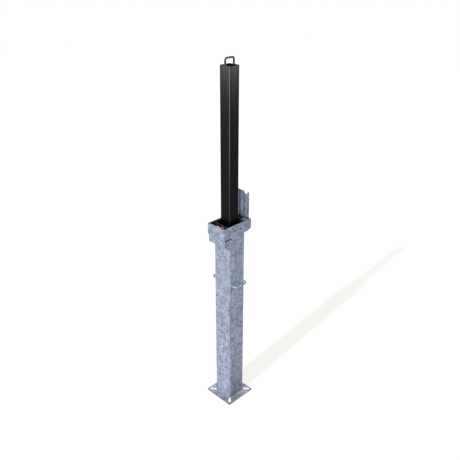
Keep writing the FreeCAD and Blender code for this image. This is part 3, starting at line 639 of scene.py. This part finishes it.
@dataclass(frozen=True)
class PowderCoat(Finish):
    """Black powder coat: fine orange peel and, on the post, paler and darker stretches.

    The post's top has a painted reflection, paler still on the faces square to y, and its front corner
    a painted highlight, with a darker line beside it. The edges of its outline are darker too, and
    painted shade makes it fade to the dark where it enters the collar.
    """

    name: str
    black: Colour = (0.0066, 0.0070, 0.0076)
    top_reflection: Colour = ORIGIN
    corner: Colour = ORIGIN
    peel: float = 0.0022
    peel_depth: float = 0.0002
    peel_strength: float = 0.35
    cloud: float = 0.06
    cloud_stretch: float = 0.3
    cloud_range: Pair = (0.3, 0.7)
    cloud_levels: Pair = (0.88, 1.13)
    roughness: Pair = (0.42, 0.55)
    gloss: float = 0.05
    decay: float = 0.103
    side_start: float = POST_HALF - 0.0002
    side_gain: float = 1.8
    ceiling: float = CAP_TOP - 0.0004
    highlight_range: Pair = (2 * POST_HALF - 0.0050, 2 * POST_HALF - 0.0032)
    highlight_heights: Pair = (RIM + 0.08, RIM + 0.60)
    highlight_least: float = 0.33
    edge_range: Pair = (2 * POST_HALF - 0.0130, 2 * POST_HALF - 0.0085)
    beside_range: Pair = (2 * POST_HALF - 0.0140, 2 * POST_HALF - 0.0100)
    edge_level: float = 0.45
    mouth_heights: Pair = (RIM + 0.008, RIM + 0.031)
    mouth_level: float = 0.15

    def make(self) -> bpy.types.Material:
        """Black with the painted reflection and painted highlight added, times the levels of the dark
        stretches.

        The painted reflection dies away below the top as exp(-depth / decay).

        Returns:
            The material.
        """
        shader = Shader(self.name)
        clouds = shader.shifted(ORIGIN, (1.0, 1.0, self.cloud_stretch))
        clouds = shader.noise(clouds, self.cloud, detail=4.0)
        peel = shader.noise(shader.shifted(ORIGIN), self.peel, detail=2.0)
        across, deep, height = shader.axes()
        side = shader.math("GREATER_THAN", shader.distance(deep), self.side_start)
        toward = shader.product(shader.math("ADD", across, deep), -1.0)
        front = shader.span(toward, self.highlight_range, (0.0, 1.0))
        upright = shader.math("LESS_THAN", height, self.ceiling)

        # Painted reflection, fading below the top and paler on the faces square to y
        depth = shader.math("MINIMUM", shader.math("SUBTRACT", height, POST_TOP), 0.0)
        fade = shader.math("EXPONENT", shader.math("DIVIDE", depth, self.decay))
        gain = shader.span(side, (0.0, 1.0), (1.0, self.side_gain))
        reflection = shader.dimmed(self.top_reflection, shader.product(fade, gain, upright))
        # Painted highlight down the post's front corner, fainter lower down
        shine = shader.span(height, self.highlight_heights, (self.highlight_least, 1.0))
        corner = shader.dimmed(self.corner, shader.product(front, shine, upright))
        colour = shader.added(shader.added(self.black, reflection), corner)

        mottle = shader.span(clouds, self.cloud_range, self.cloud_levels)
        outline = shader.span(shader.distance(across, deep), self.edge_range, (1.0, self.edge_level))
        beside = shader.span(toward, self.beside_range, (1.0, self.edge_level))
        beside = shader.math("MAXIMUM", beside, shader.math("MAXIMUM", shader.outside(side), front))
        # Painted shade where the post enters the collar
        mouth = shader.span(height, self.mouth_heights, (self.mouth_level, 1.0))
        colour = shader.dimmed(colour, shader.product(mottle, outline, beside, mouth))

        shader.bump(peel, self.peel_depth, self.peel_strength)
        roughness = shader.span(clouds, self.cloud_range, self.roughness)
        return shader.finish(colour, roughness, Specular_IOR_Level=self.gloss)


@dataclass(frozen=True)
class Plated(Finish):
    """Zinc or brass plating: brushed lines, faint stains and a satin gloss."""

    name: str
    pale: Colour
    dark: Colour
    metal: float = 0.8
    shaded: tuple[Box, ...] = ()
    shade: float = 0.08
    brush: float = 0.0012
    brush_stretch: Triple = (0.15, 0.15, 1.0)
    brush_depth: float = 0.0001
    brush_strength: float = 0.3
    stain: float = 0.012
    stain_offset: Triple = (0.3, 0.1, 0.0)
    weights: Weights = (0.4, 0.6)
    tone_range: Pair = (0.3, 0.7)
    roughness: Pair = (0.48, 0.32)

    def make(self) -> bpy.types.Material:
        """Fine lines round the part over slow stains.

        Returns:
            The material.
        """
        shader = Shader(self.name)
        lines = shader.noise(shader.shifted(ORIGIN, self.brush_stretch), self.brush, detail=2.0)
        stains = shader.noise(shader.shifted(self.stain_offset), self.stain, detail=3.0)
        value = shader.span(shader.weighed((lines, stains), self.weights), self.tone_range, (0.0, 1.0))
        colour = shader.mix(value, self.dark, self.pale)
        if self.shaded:
            colour = shader.dimmed(colour, shader.shaded(1.0, self.shaded, self.shade))
        shader.bump(lines, self.brush_depth, self.brush_strength)
        roughness = shader.span(stains, self.tone_range, self.roughness)
        return shader.finish(colour, roughness, Metallic=self.metal)


@dataclass(frozen=True)
class Moulded(Finish):
    """Moulded plastic or rubber: an even colour with fine grain and soft scuffs."""

    name: str
    pale: Colour
    dark: Colour
    roughness: float
    gloss: float = 0.4
    grain: float = 0.0008
    grain_depth: float = 0.0001
    grain_strength: float = 0.4
    scuff: float = 0.009
    scuff_range: Pair = (0.3, 0.7)
    scuff_roughness: float = 0.07
    weights: Weights = (0.8, 0.2)
    tone_range: Pair = (0.32, 0.68)

    def make(self) -> bpy.types.Material:
        """Two tones mixed by slow scuffs, with grain in the relief.

        Returns:
            The material.
        """
        shader = Shader(self.name)
        place = shader.shifted(ORIGIN)
        scuffs = shader.noise(place, self.scuff, detail=4.0)
        grain = shader.noise(place, self.grain, detail=2.0)
        value = shader.span(shader.weighed((scuffs, grain), self.weights), self.tone_range, (0.0, 1.0))
        shader.bump(grain, self.grain_depth, self.grain_strength)
        limits = (self.roughness - self.scuff_roughness, self.roughness + self.scuff_roughness)
        roughness = shader.span(scuffs, self.scuff_range, limits)
        colour = shader.mix(value, self.dark, self.pale)
        return shader.finish(colour, roughness, Specular_IOR_Level=self.gloss)


@dataclass(frozen=True)
class Shades:
    """Boxes of painted shade and light, in which a finish is darker or paler, worked out from the
    frame.

    A box gives x, the distance from the middle plane and z. It reaches a little past the faces
    that it changes, and stops short of those that keep their level.
    """

    middle: float = -0.001
    hair: float = 0.0001
    past: float = 0.0005
    margin: float = 0.001
    collar_wall: float = 0.006
    tube_wall: float = 0.004
    sheet: float = 0.004
    pan_slope: float = 0.0032
    pan_flat: float = 0.026
    pocket_slope: float = 0.034
    slot_ends: Pair = (0.0036, 0.0057)
    slot_drops: Pair = (0.0259, 0.0181)
    vent_half: float = 0.0045
    strap_foot: float = 0.011
    tongue_depth: float = 0.010

    @staticmethod
    def box(across: Pair, deep: Pair, height: Pair) -> Box:
        """A box's low and high corner from its range along each axis."""
        return tuple(zip(across, deep, height))

    def inside(self) -> Box:
        """Painted shade inside the head, from the hinge pan's slope up to the rim.

        Returns:
            The box.
        """
        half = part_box("collar_frame")[1].x - self.collar_wall + 2 * self.hair
        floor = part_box("hinge_pan")[1].z - self.pan_slope
        return self.box((-half, half), (self.middle, TUBE_HALF + self.past), (floor, RIM - self.hair))

    def head(self) -> tuple[Box, ...]:
        """All the painted shade of the head: its inside, the tube's and the pocket's, slots and vents.

        Returns:
            The boxes.
        """
        inside = self.inside()
        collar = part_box("collar_frame")[1]
        pan_low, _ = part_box("hinge_pan")
        tube_low, tube_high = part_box("socket_tube")
        pocket_low, pocket_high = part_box("lock_pocket")
        bore = TUBE_HALF - self.tube_wall + self.past
        cheek = pocket_high.y - self.sheet
        pan = self.box(
            (TUBE_HALF, collar.x - self.pan_flat + self.margin),
            (self.middle, TUBE_HALF + self.past),
            (pan_low.z + self.sheet - self.margin, inside[0][2] + self.past),
        )
        tube = self.box(
            (-bore, bore), (self.middle, bore), (tube_low.z + self.past, tube_high.z - self.margin)
        )
        pocket = self.box(
            (pocket_low.x + self.sheet - self.past, self.past - TUBE_HALF),
            (self.middle, cheek + 2 * self.hair),
            (pocket_low.z + self.pocket_slope, pocket_high.z + self.margin),
        )
        slot = self.box(
            (pocket_low.x + self.slot_ends[0], pocket_high.x - self.slot_ends[1]),
            (cheek - self.margin, pocket_high.y + self.past),
            (pocket_high.z - self.slot_drops[0], pocket_high.z - self.slot_drops[1]),
        )
        vents = (
            self.box(
                (x - self.vent_half, x + self.vent_half),
                (TUBE_HALF - 4 * self.hair, collar.y - 4 * self.hair),
                (VENT_HEIGHT - self.vent_half, VENT_HEIGHT + self.vent_half),
            )
            for x in (-VENT_X, VENT_X)
        )
        return (inside, pan, tube, pocket, slot, *vents)

    def straps(self) -> tuple[Box, ...]:
        """Painted shade on the straps' foot in the head, and on their side away from the middle.

        Returns:
            The boxes.
        """
        low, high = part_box("lid_strap_left")
        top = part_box("lid_plate")[1].z + self.hair
        foot = self.box(
            (TUBE_HALF, high.x + self.margin),
            (low.y - 2 * self.margin, high.y + 2 * self.margin),
            (low.z - self.past, RIM + self.strap_foot),
        )
        side = self.box(
            (TUBE_HALF, high.x + self.hair),
            (high.y - 3 * self.hair, high.y + 3 * self.hair),
            (RIM, top),
        )
        return (foot, side)

    def tongue(self) -> Box:
        """Painted shade on the ledge's tongue between the two straps, with its sides."""
        low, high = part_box("lid_strap_left")
        return self.box(
            (TUBE_HALF, high.x + 3 * self.margin),
            (self.middle, low.y - self.margin + self.hair),
            (RIM - self.tongue_depth, RIM + self.margin),
        )

    def between_straps(self) -> Box:
        """Painted light on the lid's inner face between the two straps."""
        (low, high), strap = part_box("lid_plate"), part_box("lid_strap_left")[0]
        return self.box(
            (low.x - self.margin, low.x + self.margin),
            (self.middle, strap.y),
            (low.z - self.margin, high.z + self.margin),
        )

    def plate_sides(self) -> tuple[Box, ...]:
        """Painted shade on the base plate's four edges.

        Returns:
            The boxes.
        """
        inner, outer = PLATE_HALF - self.margin, PLATE_HALF + self.margin
        height = (-self.margin, PLATE_TOP - 2 * self.hair)
        return (
            self.box((-outer, outer), (inner, outer), height),
            self.box((-outer, -inner), (self.middle, outer), height),
            self.box((inner, outer), (self.middle, outer), height),
        )


# Painted shade in the head's recesses, where its walls keep out the light
HEAD_SHADE = Shades().head()
WELD_SIZES = {"spangle": 0.006, "cloud": 0.012}

TUBE_ZINC = GalvanisedSteel("zinc_tube", shaded=HEAD_SHADE, shade=0.06)
# Painted shade: the plate darker on its four edges and towards its front
FOOT_ZINC = PlateZinc(
    "zinc_foot", (0.31, 0.17, 0.0), shaded=Shades().plate_sides(), shade=0.55,
    dark=(0.33, 0.36, 0.45), middle=(0.52, 0.56, 0.66), pale=(0.68, 0.72, 0.80),
    foot_level=1.0, foot_side_level=1.0,
    slope=(-1.0, -1.0, 0.0), slope_range=(0.01, 0.15), slope_levels=(1.05, 0.66),
)
LOOP_ZINC = GalvanisedSteel("zinc_loops", (0.11, 0.42, 0.2))
COLLAR_ZINC = VentedZinc(
    "zinc_collar", (0.53, 0.21, 0.13), level=0.98, shaded=HEAD_SHADE, shade=0.06,
    slope=(1.0, 0.0, 0.0), slope_range=(0.03, 0.085), slope_levels=(1.0, 0.82),
)
POCKET_ZINC = GalvanisedSteel("zinc_pocket", (0.07, 0.63, 0.29), shaded=HEAD_SHADE, shade=0.06)
HINGE_ZINC = GalvanisedSteel("zinc_hinge_end", (0.73, 0.05, 0.41), shaded=HEAD_SHADE)
# Painted shade: the ledge darker all over, its tongue between the straps darker still
LEDGE_ZINC = GalvanisedSteel(
    "zinc_ledge", (0.22, 0.83, 0.17), level=0.74, shaded=(Shades().tongue(),), shade=0.25
)
WELD_ZINC = GalvanisedSteel("zinc_welds", (0.4, 0.4, 0.4), level=0.9, **WELD_SIZES)
# Painted shade: the lid darker all over and towards its foot; painted light between the straps
LID_ZINC = GalvanisedSteel(
    "zinc_lid", (0.9, 0.33, 0.61), level=0.78, shaded=(Shades().between_straps(),), shade=1.55,
    slope=(0.0, 0.0, 1.0), slope_range=(RIM + 0.002, RIM + 0.020), slope_levels=(0.24, 1.0),
)
# Painted light: the straps paler; painted shade on their foot and their outer side
STRAP_ZINC = GalvanisedSteel(
    "zinc_straps", (0.15, 0.75, 0.95), level=1.72, shaded=Shades().straps(), shade=0.13
)
LID_WELD_ZINC = GalvanisedSteel("zinc_lid_welds", (0.4, 0.1, 0.4), level=0.80, **WELD_SIZES)

# Painted reflection on the post's top and painted highlight on its front corner
TOP_REFLECTION: Colour = (0.080, 0.083, 0.081)
CORNER_HIGHLIGHT: Colour = (0.135, 0.141, 0.138)
POST_PAINT = PowderCoat("black_powder_coat", top_reflection=TOP_REFLECTION, corner=CORNER_HIGHLIGHT)
CAP_PAINT = PowderCoat("black_cap_coat", (0.011, 0.0115, 0.011), TOP_REFLECTION, CORNER_HIGHLIGHT, gloss=0.0)
# The handle's black, paler than the post's, is partly painted sheen of its round bar
HANDLE_PAINT = PowderCoat("black_handle_coat", (0.045, 0.045, 0.045), gloss=0.5)

DARK_NYLON = Moulded("dark_nylon", (0.034, 0.034, 0.036), (0.024, 0.024, 0.026), 0.62)
WHITE_NYLON = Moulded("white_nylon", (0.98, 0.98, 0.96), (0.92, 0.92, 0.88), 0.42)
RUBBER = Moulded("buffer_rubber", (0.028, 0.028, 0.028), (0.018, 0.018, 0.018), 0.8, gloss=0.25)
RED_PLASTIC = Moulded("red_plastic", (0.68, 0.125, 0.105), (0.54, 0.095, 0.080), 0.36)

ZINC_PLATE = Plated("zinc_plate", (0.50, 0.54, 0.62), (0.36, 0.39, 0.46))
# Painted shade: the lock housing nearly black where the head's shadow falls on it
HOUSING_SHADE_ZINC = Plated("shaded_housing_zinc", (0.034, 0.037, 0.046), (0.020, 0.022, 0.028), metal=0.4)
# Painted shade on the pin's middle, inside the head
YELLOW_ZINC = Plated(
    "yellow_zinc", (0.50, 0.42, 0.27), (0.36, 0.30, 0.19), metal=0.4, shaded=(Shades().inside(),)
)
LOCK_BRASS = Plated("lock_brass", (0.62, 0.48, 0.24), (0.45, 0.34, 0.16))


# The bollard's sub-assemblies


@dataclass
class GroundSocket:
    """Tube on its base plate, with loops, collar, pocket and hinge end."""

    tube_corner: float = 0.008
    slot_clear: float = 0.006
    loop_bar: float = 0.010
    pocket_gap: float = 0.004
    cheek_gaps: Pair = (0.002, 0.001)
    foot_bead: Bead = Bead(0.0052)
    loop_bead: Bead = Bead(0.0030, step=0.0006, pitch=0.0024)
    collar_bead: Bead = Bead(0.0040)
    pocket_bead: Bead = Bead(0.0034)

    def dress(self) -> None:
        """Zinc on the welded parts, nylon and rubber on the bush and the two buffers."""
        TUBE_ZINC.dress("socket_tube")
        FOOT_ZINC.dress("base_plate")
        LOOP_ZINC.dress("anchor_loop_left", "anchor_loop_right")
        COLLAR_ZINC.dress("collar_frame")
        POCKET_ZINC.dress("lock_pocket")
        HINGE_ZINC.dress("hinge_pan", "guide_ring")
        LEDGE_ZINC.dress("hinge_ledge")
        YELLOW_ZINC.dress("hinge_pin")
        DARK_NYLON.dress("guide_bush")
        ZINC_PLATE.dress("bush_screws")
        RUBBER.dress("bottom_buffer")
        WHITE_NYLON.dress("lid_buffer")

    def foot_welds(self) -> None:
        """A bead along each side of the tube on the base plate, clear of the corners' slots."""
        low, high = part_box("socket_tube")
        reach = high.x - self.tube_corner - self.slot_clear
        shells = []
        for turn in range(4):
            outward = Vector((math.cos(turn * QUARTER_TURN), math.sin(turn * QUARTER_TURN), 0))
            along = Vector((-outward.y, outward.x, 0))
            foot = outward * high.x + UP * low.z
            shells.append(self.foot_bead.along(foot - along * reach, foot + along * reach, outward, UP))
        make_piece("foot_welds", shells, WELD_ZINC, Body.SOCKET)

    def loop_welds(self) -> None:
        """Ring of weld round each leg of the two anchor loops."""
        shells = []
        for name in ("anchor_loop_left", "anchor_loop_right"):
            low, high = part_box(name)
            side = 1.0 if low.y > 0 else -1.0
            face = low.y if side > 0 else high.y
            for leg in (low.x + self.loop_bar / 2, high.x - self.loop_bar / 2):
                centre = Vector((leg, face, (low.z + high.z) / 2))
                shells.append(self.loop_bead.around(centre, Vector((0, side, 0)), self.loop_bar / 2))
        make_piece("loop_welds", shells, WELD_ZINC, Body.SOCKET)

    def collar_welds(self) -> None:
        """Beads in the corner under the collar: along the tube's sides and at the hinge end."""
        _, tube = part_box("socket_tube")
        collar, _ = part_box("collar_frame")
        _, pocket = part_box("lock_pocket")
        reach = tube.y - self.tube_corner
        shells = []
        for side in (-1.0, 1.0):
            start = Vector((pocket.x + self.pocket_gap, side * tube.y, collar.z))
            end = Vector((tube.x - self.tube_corner, side * tube.y, collar.z))
            shells.append(self.collar_bead.along(start, end, Vector((0, side, 0)), -UP))
        start, end = (Vector((tube.x, y, collar.z)) for y in (-reach, reach))
        shells.append(self.collar_bead.along(start, end, Vector((1, 0, 0)), -UP))
        make_piece("collar_welds", shells, WELD_ZINC, Body.SOCKET)

    def pocket_welds(self) -> None:
        """Beads up the pocket's two cheeks where they end on the tube."""
        low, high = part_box("lock_pocket")
        collar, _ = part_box("collar_frame")
        _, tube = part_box("socket_tube")
        foot_gap, head_gap = self.cheek_gaps
        shells = []
        for side in (-1.0, 1.0):
            start = Vector((high.x, side * tube.y, low.z + foot_gap))
            end = Vector((high.x, side * tube.y, collar.z - head_gap))
            shells.append(self.pocket_bead.along(start, end, Vector((1, 0, 0)), Vector((0, side, 0))))
        make_piece("pocket_welds", shells, WELD_ZINC, Body.SOCKET)

    def build(self) -> None:
        """Dress the nodes and add the welds."""
        self.dress()
        self.foot_welds()
        self.loop_welds()
        self.collar_welds()
        self.pocket_welds()


@dataclass
class Lock:
    """Bolt, barrel and cap in their housing."""

    def build(self) -> None:
        """Dress the lock's nodes."""
        HOUSING_SHADE_ZINC.dress("lock_housing")
        ZINC_PLATE.dress("housing_screws", "lock_cam", "cam_screw", "lock_bolt")
        LOCK_BRASS.dress("lock_barrel")
        RED_PLASTIC.dress("lock_cap")


@dataclass
class Lid:
    """Hinged lid with its two straps."""

    straps: tuple[str, str] = ("lid_strap_left", "lid_strap_right")
    strap_bead: Bead = Bead(0.0030)
    stitches: tuple[Pair, ...] = ((0.06, 0.26), (0.42, 0.62), (0.78, 0.98))

    def dress(self) -> None:
        """Zinc on the lid and its straps."""
        LID_ZINC.dress("lid_plate")
        STRAP_ZINC.dress(*self.straps)

    def strap_welds(self) -> None:
        """Three short beads along each side of each strap, at shares of its run on the lid."""
        plate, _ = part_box("lid_plate")
        shells = []
        for name in self.straps:
            low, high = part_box(name)
            for face, side in ((low.y, -1.0), (high.y, 1.0)):
                for shares in self.stitches:
                    heights = (plate.z + (high.z - plate.z) * share for share in shares)
                    start, end = (Vector((plate.x, face, height)) for height in heights)
                    outward = Vector((0, side, 0))
                    shells.append(self.strap_bead.along(start, end, outward, Vector((-1, 0, 0))))
        make_piece("strap_welds", shells, LID_WELD_ZINC, Body.LID)

    def build(self) -> None:
        """Dress the nodes and add the welds."""
        self.dress()
        self.strap_welds()


@dataclass
class Post:
    """Sliding post with its cap, handle and foot."""

    handle_bar: float = 0.010
    handle_bead: Bead = Bead(0.0028, step=0.0006, pitch=0.0024)

    def dress(self) -> None:
        """Powder coat on the steel, nylon shoe and its screws at the foot."""
        POST_PAINT.dress("post_tube")
        CAP_PAINT.dress("post_cap", "stop_plate", "foot_plate")
        HANDLE_PAINT.dress("lifting_handle")
        DARK_NYLON.dress("foot_shoe")
        ZINC_PLATE.dress("shoe_screws")

    def handle_welds(self) -> None:
        """Ring of weld round each leg of the lifting handle."""
        low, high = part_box("lifting_handle")
        radius = self.handle_bar / 2
        shells = []
        for leg in (low.x + radius, high.x - radius):
            shells.append(self.handle_bead.around(Vector((leg, 0, low.z)), UP, radius))
        make_piece("handle_welds", shells, HANDLE_PAINT, Body.POST)

    def build(self) -> None:
        """Dress the nodes and add the welds."""
        self.dress()
        self.handle_welds()


@dataclass
class Studio:
    """Camera, lamps, surroundings and floor."""

    camera_place: Triple = (-2.0113, -2.0113, 2.5361)
    camera_tilt: float = 90.0 - 26.083
    camera_turn: float = -45.0
    camera_reach: float = 100.0
    lens: float = 44.555
    sensor: float = 36.0
    shift: float = 0.00098
    lamp_way: Triple = (0.776, 0.071, -0.625)
    lamp_strength: float = 1.65
    lamp_angle: float = 1.7
    fill_way: Triple = (0.80, 0.48, -0.36)
    fill_strength: float = 0.58
    fill_angle: float = 14.0
    sky: float = 0.30
    floor_half: float = 12.0
    floor_drop: float = 0.0003
    floor_glow: Colour = (0.79, 0.77, 0.69)
    floor_tint: Colour = (0.355, 0.38, 0.49)
    floor_bounce: Colour = (0.78, 0.78, 0.77)

    def camera(self) -> None:
        """Camera at the photograph's viewing angle."""
        data = bpy.data.cameras.new("camera")
        data.lens = self.lens
        data.sensor_width = self.sensor
        data.sensor_fit = "HORIZONTAL"
        data.shift_x = self.shift
        data.clip_end = self.camera_reach
        camera = bpy.data.objects.new("camera", data)
        camera.location = self.camera_place
        camera.rotation_euler = (math.radians(self.camera_tilt), 0.0, math.radians(self.camera_turn))
        bpy.context.scene.collection.objects.link(camera)
        bpy.context.scene.camera = camera

    def lamps(self) -> None:
        """A distant lamp from the lock's side, and a weak soft one from the camera's side."""
        key = ("key", self.lamp_strength, self.lamp_angle, self.lamp_way)
        fill = ("fill", self.fill_strength, self.fill_angle, self.fill_way)
        for name, strength, angle, way in (key, fill):
            data = bpy.data.lights.new(name, "SUN")
            data.energy = strength
            data.angle = math.radians(angle)
            lamp = bpy.data.objects.new(name, data)
            lamp.rotation_euler = Vector(way).to_track_quat("-Z", "Y").to_euler()
            bpy.context.scene.collection.objects.link(lamp)

    @staticmethod
    def seen(tree: bpy.types.NodeTree) -> Socket:
        """One for rays that show the background: camera, glossy and transmission rays.

        Args:
            tree: the node tree.

        Returns:
            The mask.
        """
        path = tree.nodes.new("ShaderNodeLightPath")
        mask = path.outputs["Is Camera Ray"]
        for name in ("Is Glossy Ray", "Is Transmission Ray"):
            either = tree.nodes.new("ShaderNodeMath")
            either.operation = "MAXIMUM"
            tree.links.new(mask, either.inputs[0])
            tree.links.new(path.outputs[name], either.inputs[1])
            mask = either.outputs[0]
        return mask

    def world(self) -> None:
        """White to the eye, a plain soft level as light."""
        world = bpy.data.worlds.new("studio")
        world.use_nodes = True
        tree = world.node_tree
        tree.nodes["Background"].inputs["Color"].default_value = (1.0, 1.0, 1.0, 1.0)
        level = tree.nodes.new("ShaderNodeMapRange")
        level.inputs["To Min"].default_value = self.sky
        level.inputs["To Max"].default_value = 1.0
        tree.links.new(self.seen(tree), level.inputs["Value"])
        tree.links.new(level.outputs["Result"], tree.nodes["Background"].inputs["Strength"])
        bpy.context.scene.world = world

    def floor_paint(self) -> bpy.types.Material:
        """Pale glow with a soft shadow to the eye, plain white bounce as light.

        Returns:
            The floor's material.
        """
        material = bpy.data.materials.new("floor")
        material.use_nodes = True
        tree = material.node_tree
        tree.nodes.remove(tree.nodes["Principled BSDF"])
        kinds = ("Emission", "BsdfDiffuse", "BsdfDiffuse", "AddShader", "MixShader")
        glow, tint, bounce, both, pick = (tree.nodes.new(f"ShaderNode{kind}") for kind in kinds)
        glow.inputs["Color"].default_value = (*self.floor_glow, 1.0)
        tint.inputs["Color"].default_value = (*self.floor_tint, 1.0)
        bounce.inputs["Color"].default_value = (*self.floor_bounce, 1.0)
        tree.links.new(glow.outputs[0], both.inputs[0])
        tree.links.new(tint.outputs[0], both.inputs[1])
        tree.links.new(self.seen(tree), pick.inputs[0])
        tree.links.new(bounce.outputs[0], pick.inputs[1])
        tree.links.new(both.outputs[0], pick.inputs[2])
        tree.links.new(pick.outputs[0], tree.nodes["Material Output"].inputs["Surface"])
        return material

    def floor(self) -> None:
        """Wide floor just under the base plate, which keeps the object's faint shadow."""
        mesh = bpy.data.meshes.new("floor")
        corners = np.array([(-1, -1), (1, -1), (1, 1), (-1, 1)]) * self.floor_half
        points = np.column_stack([corners, np.full(4, -self.floor_drop)])
        mesh.from_pydata(points.tolist(), [], [(0, 1, 2, 3)])
        mesh.materials.append(self.floor_paint())
        floor = bpy.data.objects.new("floor", mesh)
        bpy.context.scene.collection.objects.link(floor)

    def build(self) -> None:
        """Set the stage."""
        bpy.context.scene.view_settings.view_transform = "Standard"
        self.camera()
        self.lamps()
        self.world()
        self.floor()


def main() -> None:
    """Build the sub-assemblies in order."""
    logging.basicConfig(level=logging.INFO, format="%(message)s")
    for part in (GroundSocket(), Lock(), Lid(), Post(), Studio()):
        LOG.info("building %s", type(part).__name__)
        part.build()


if __name__ == "__main__":
    main()
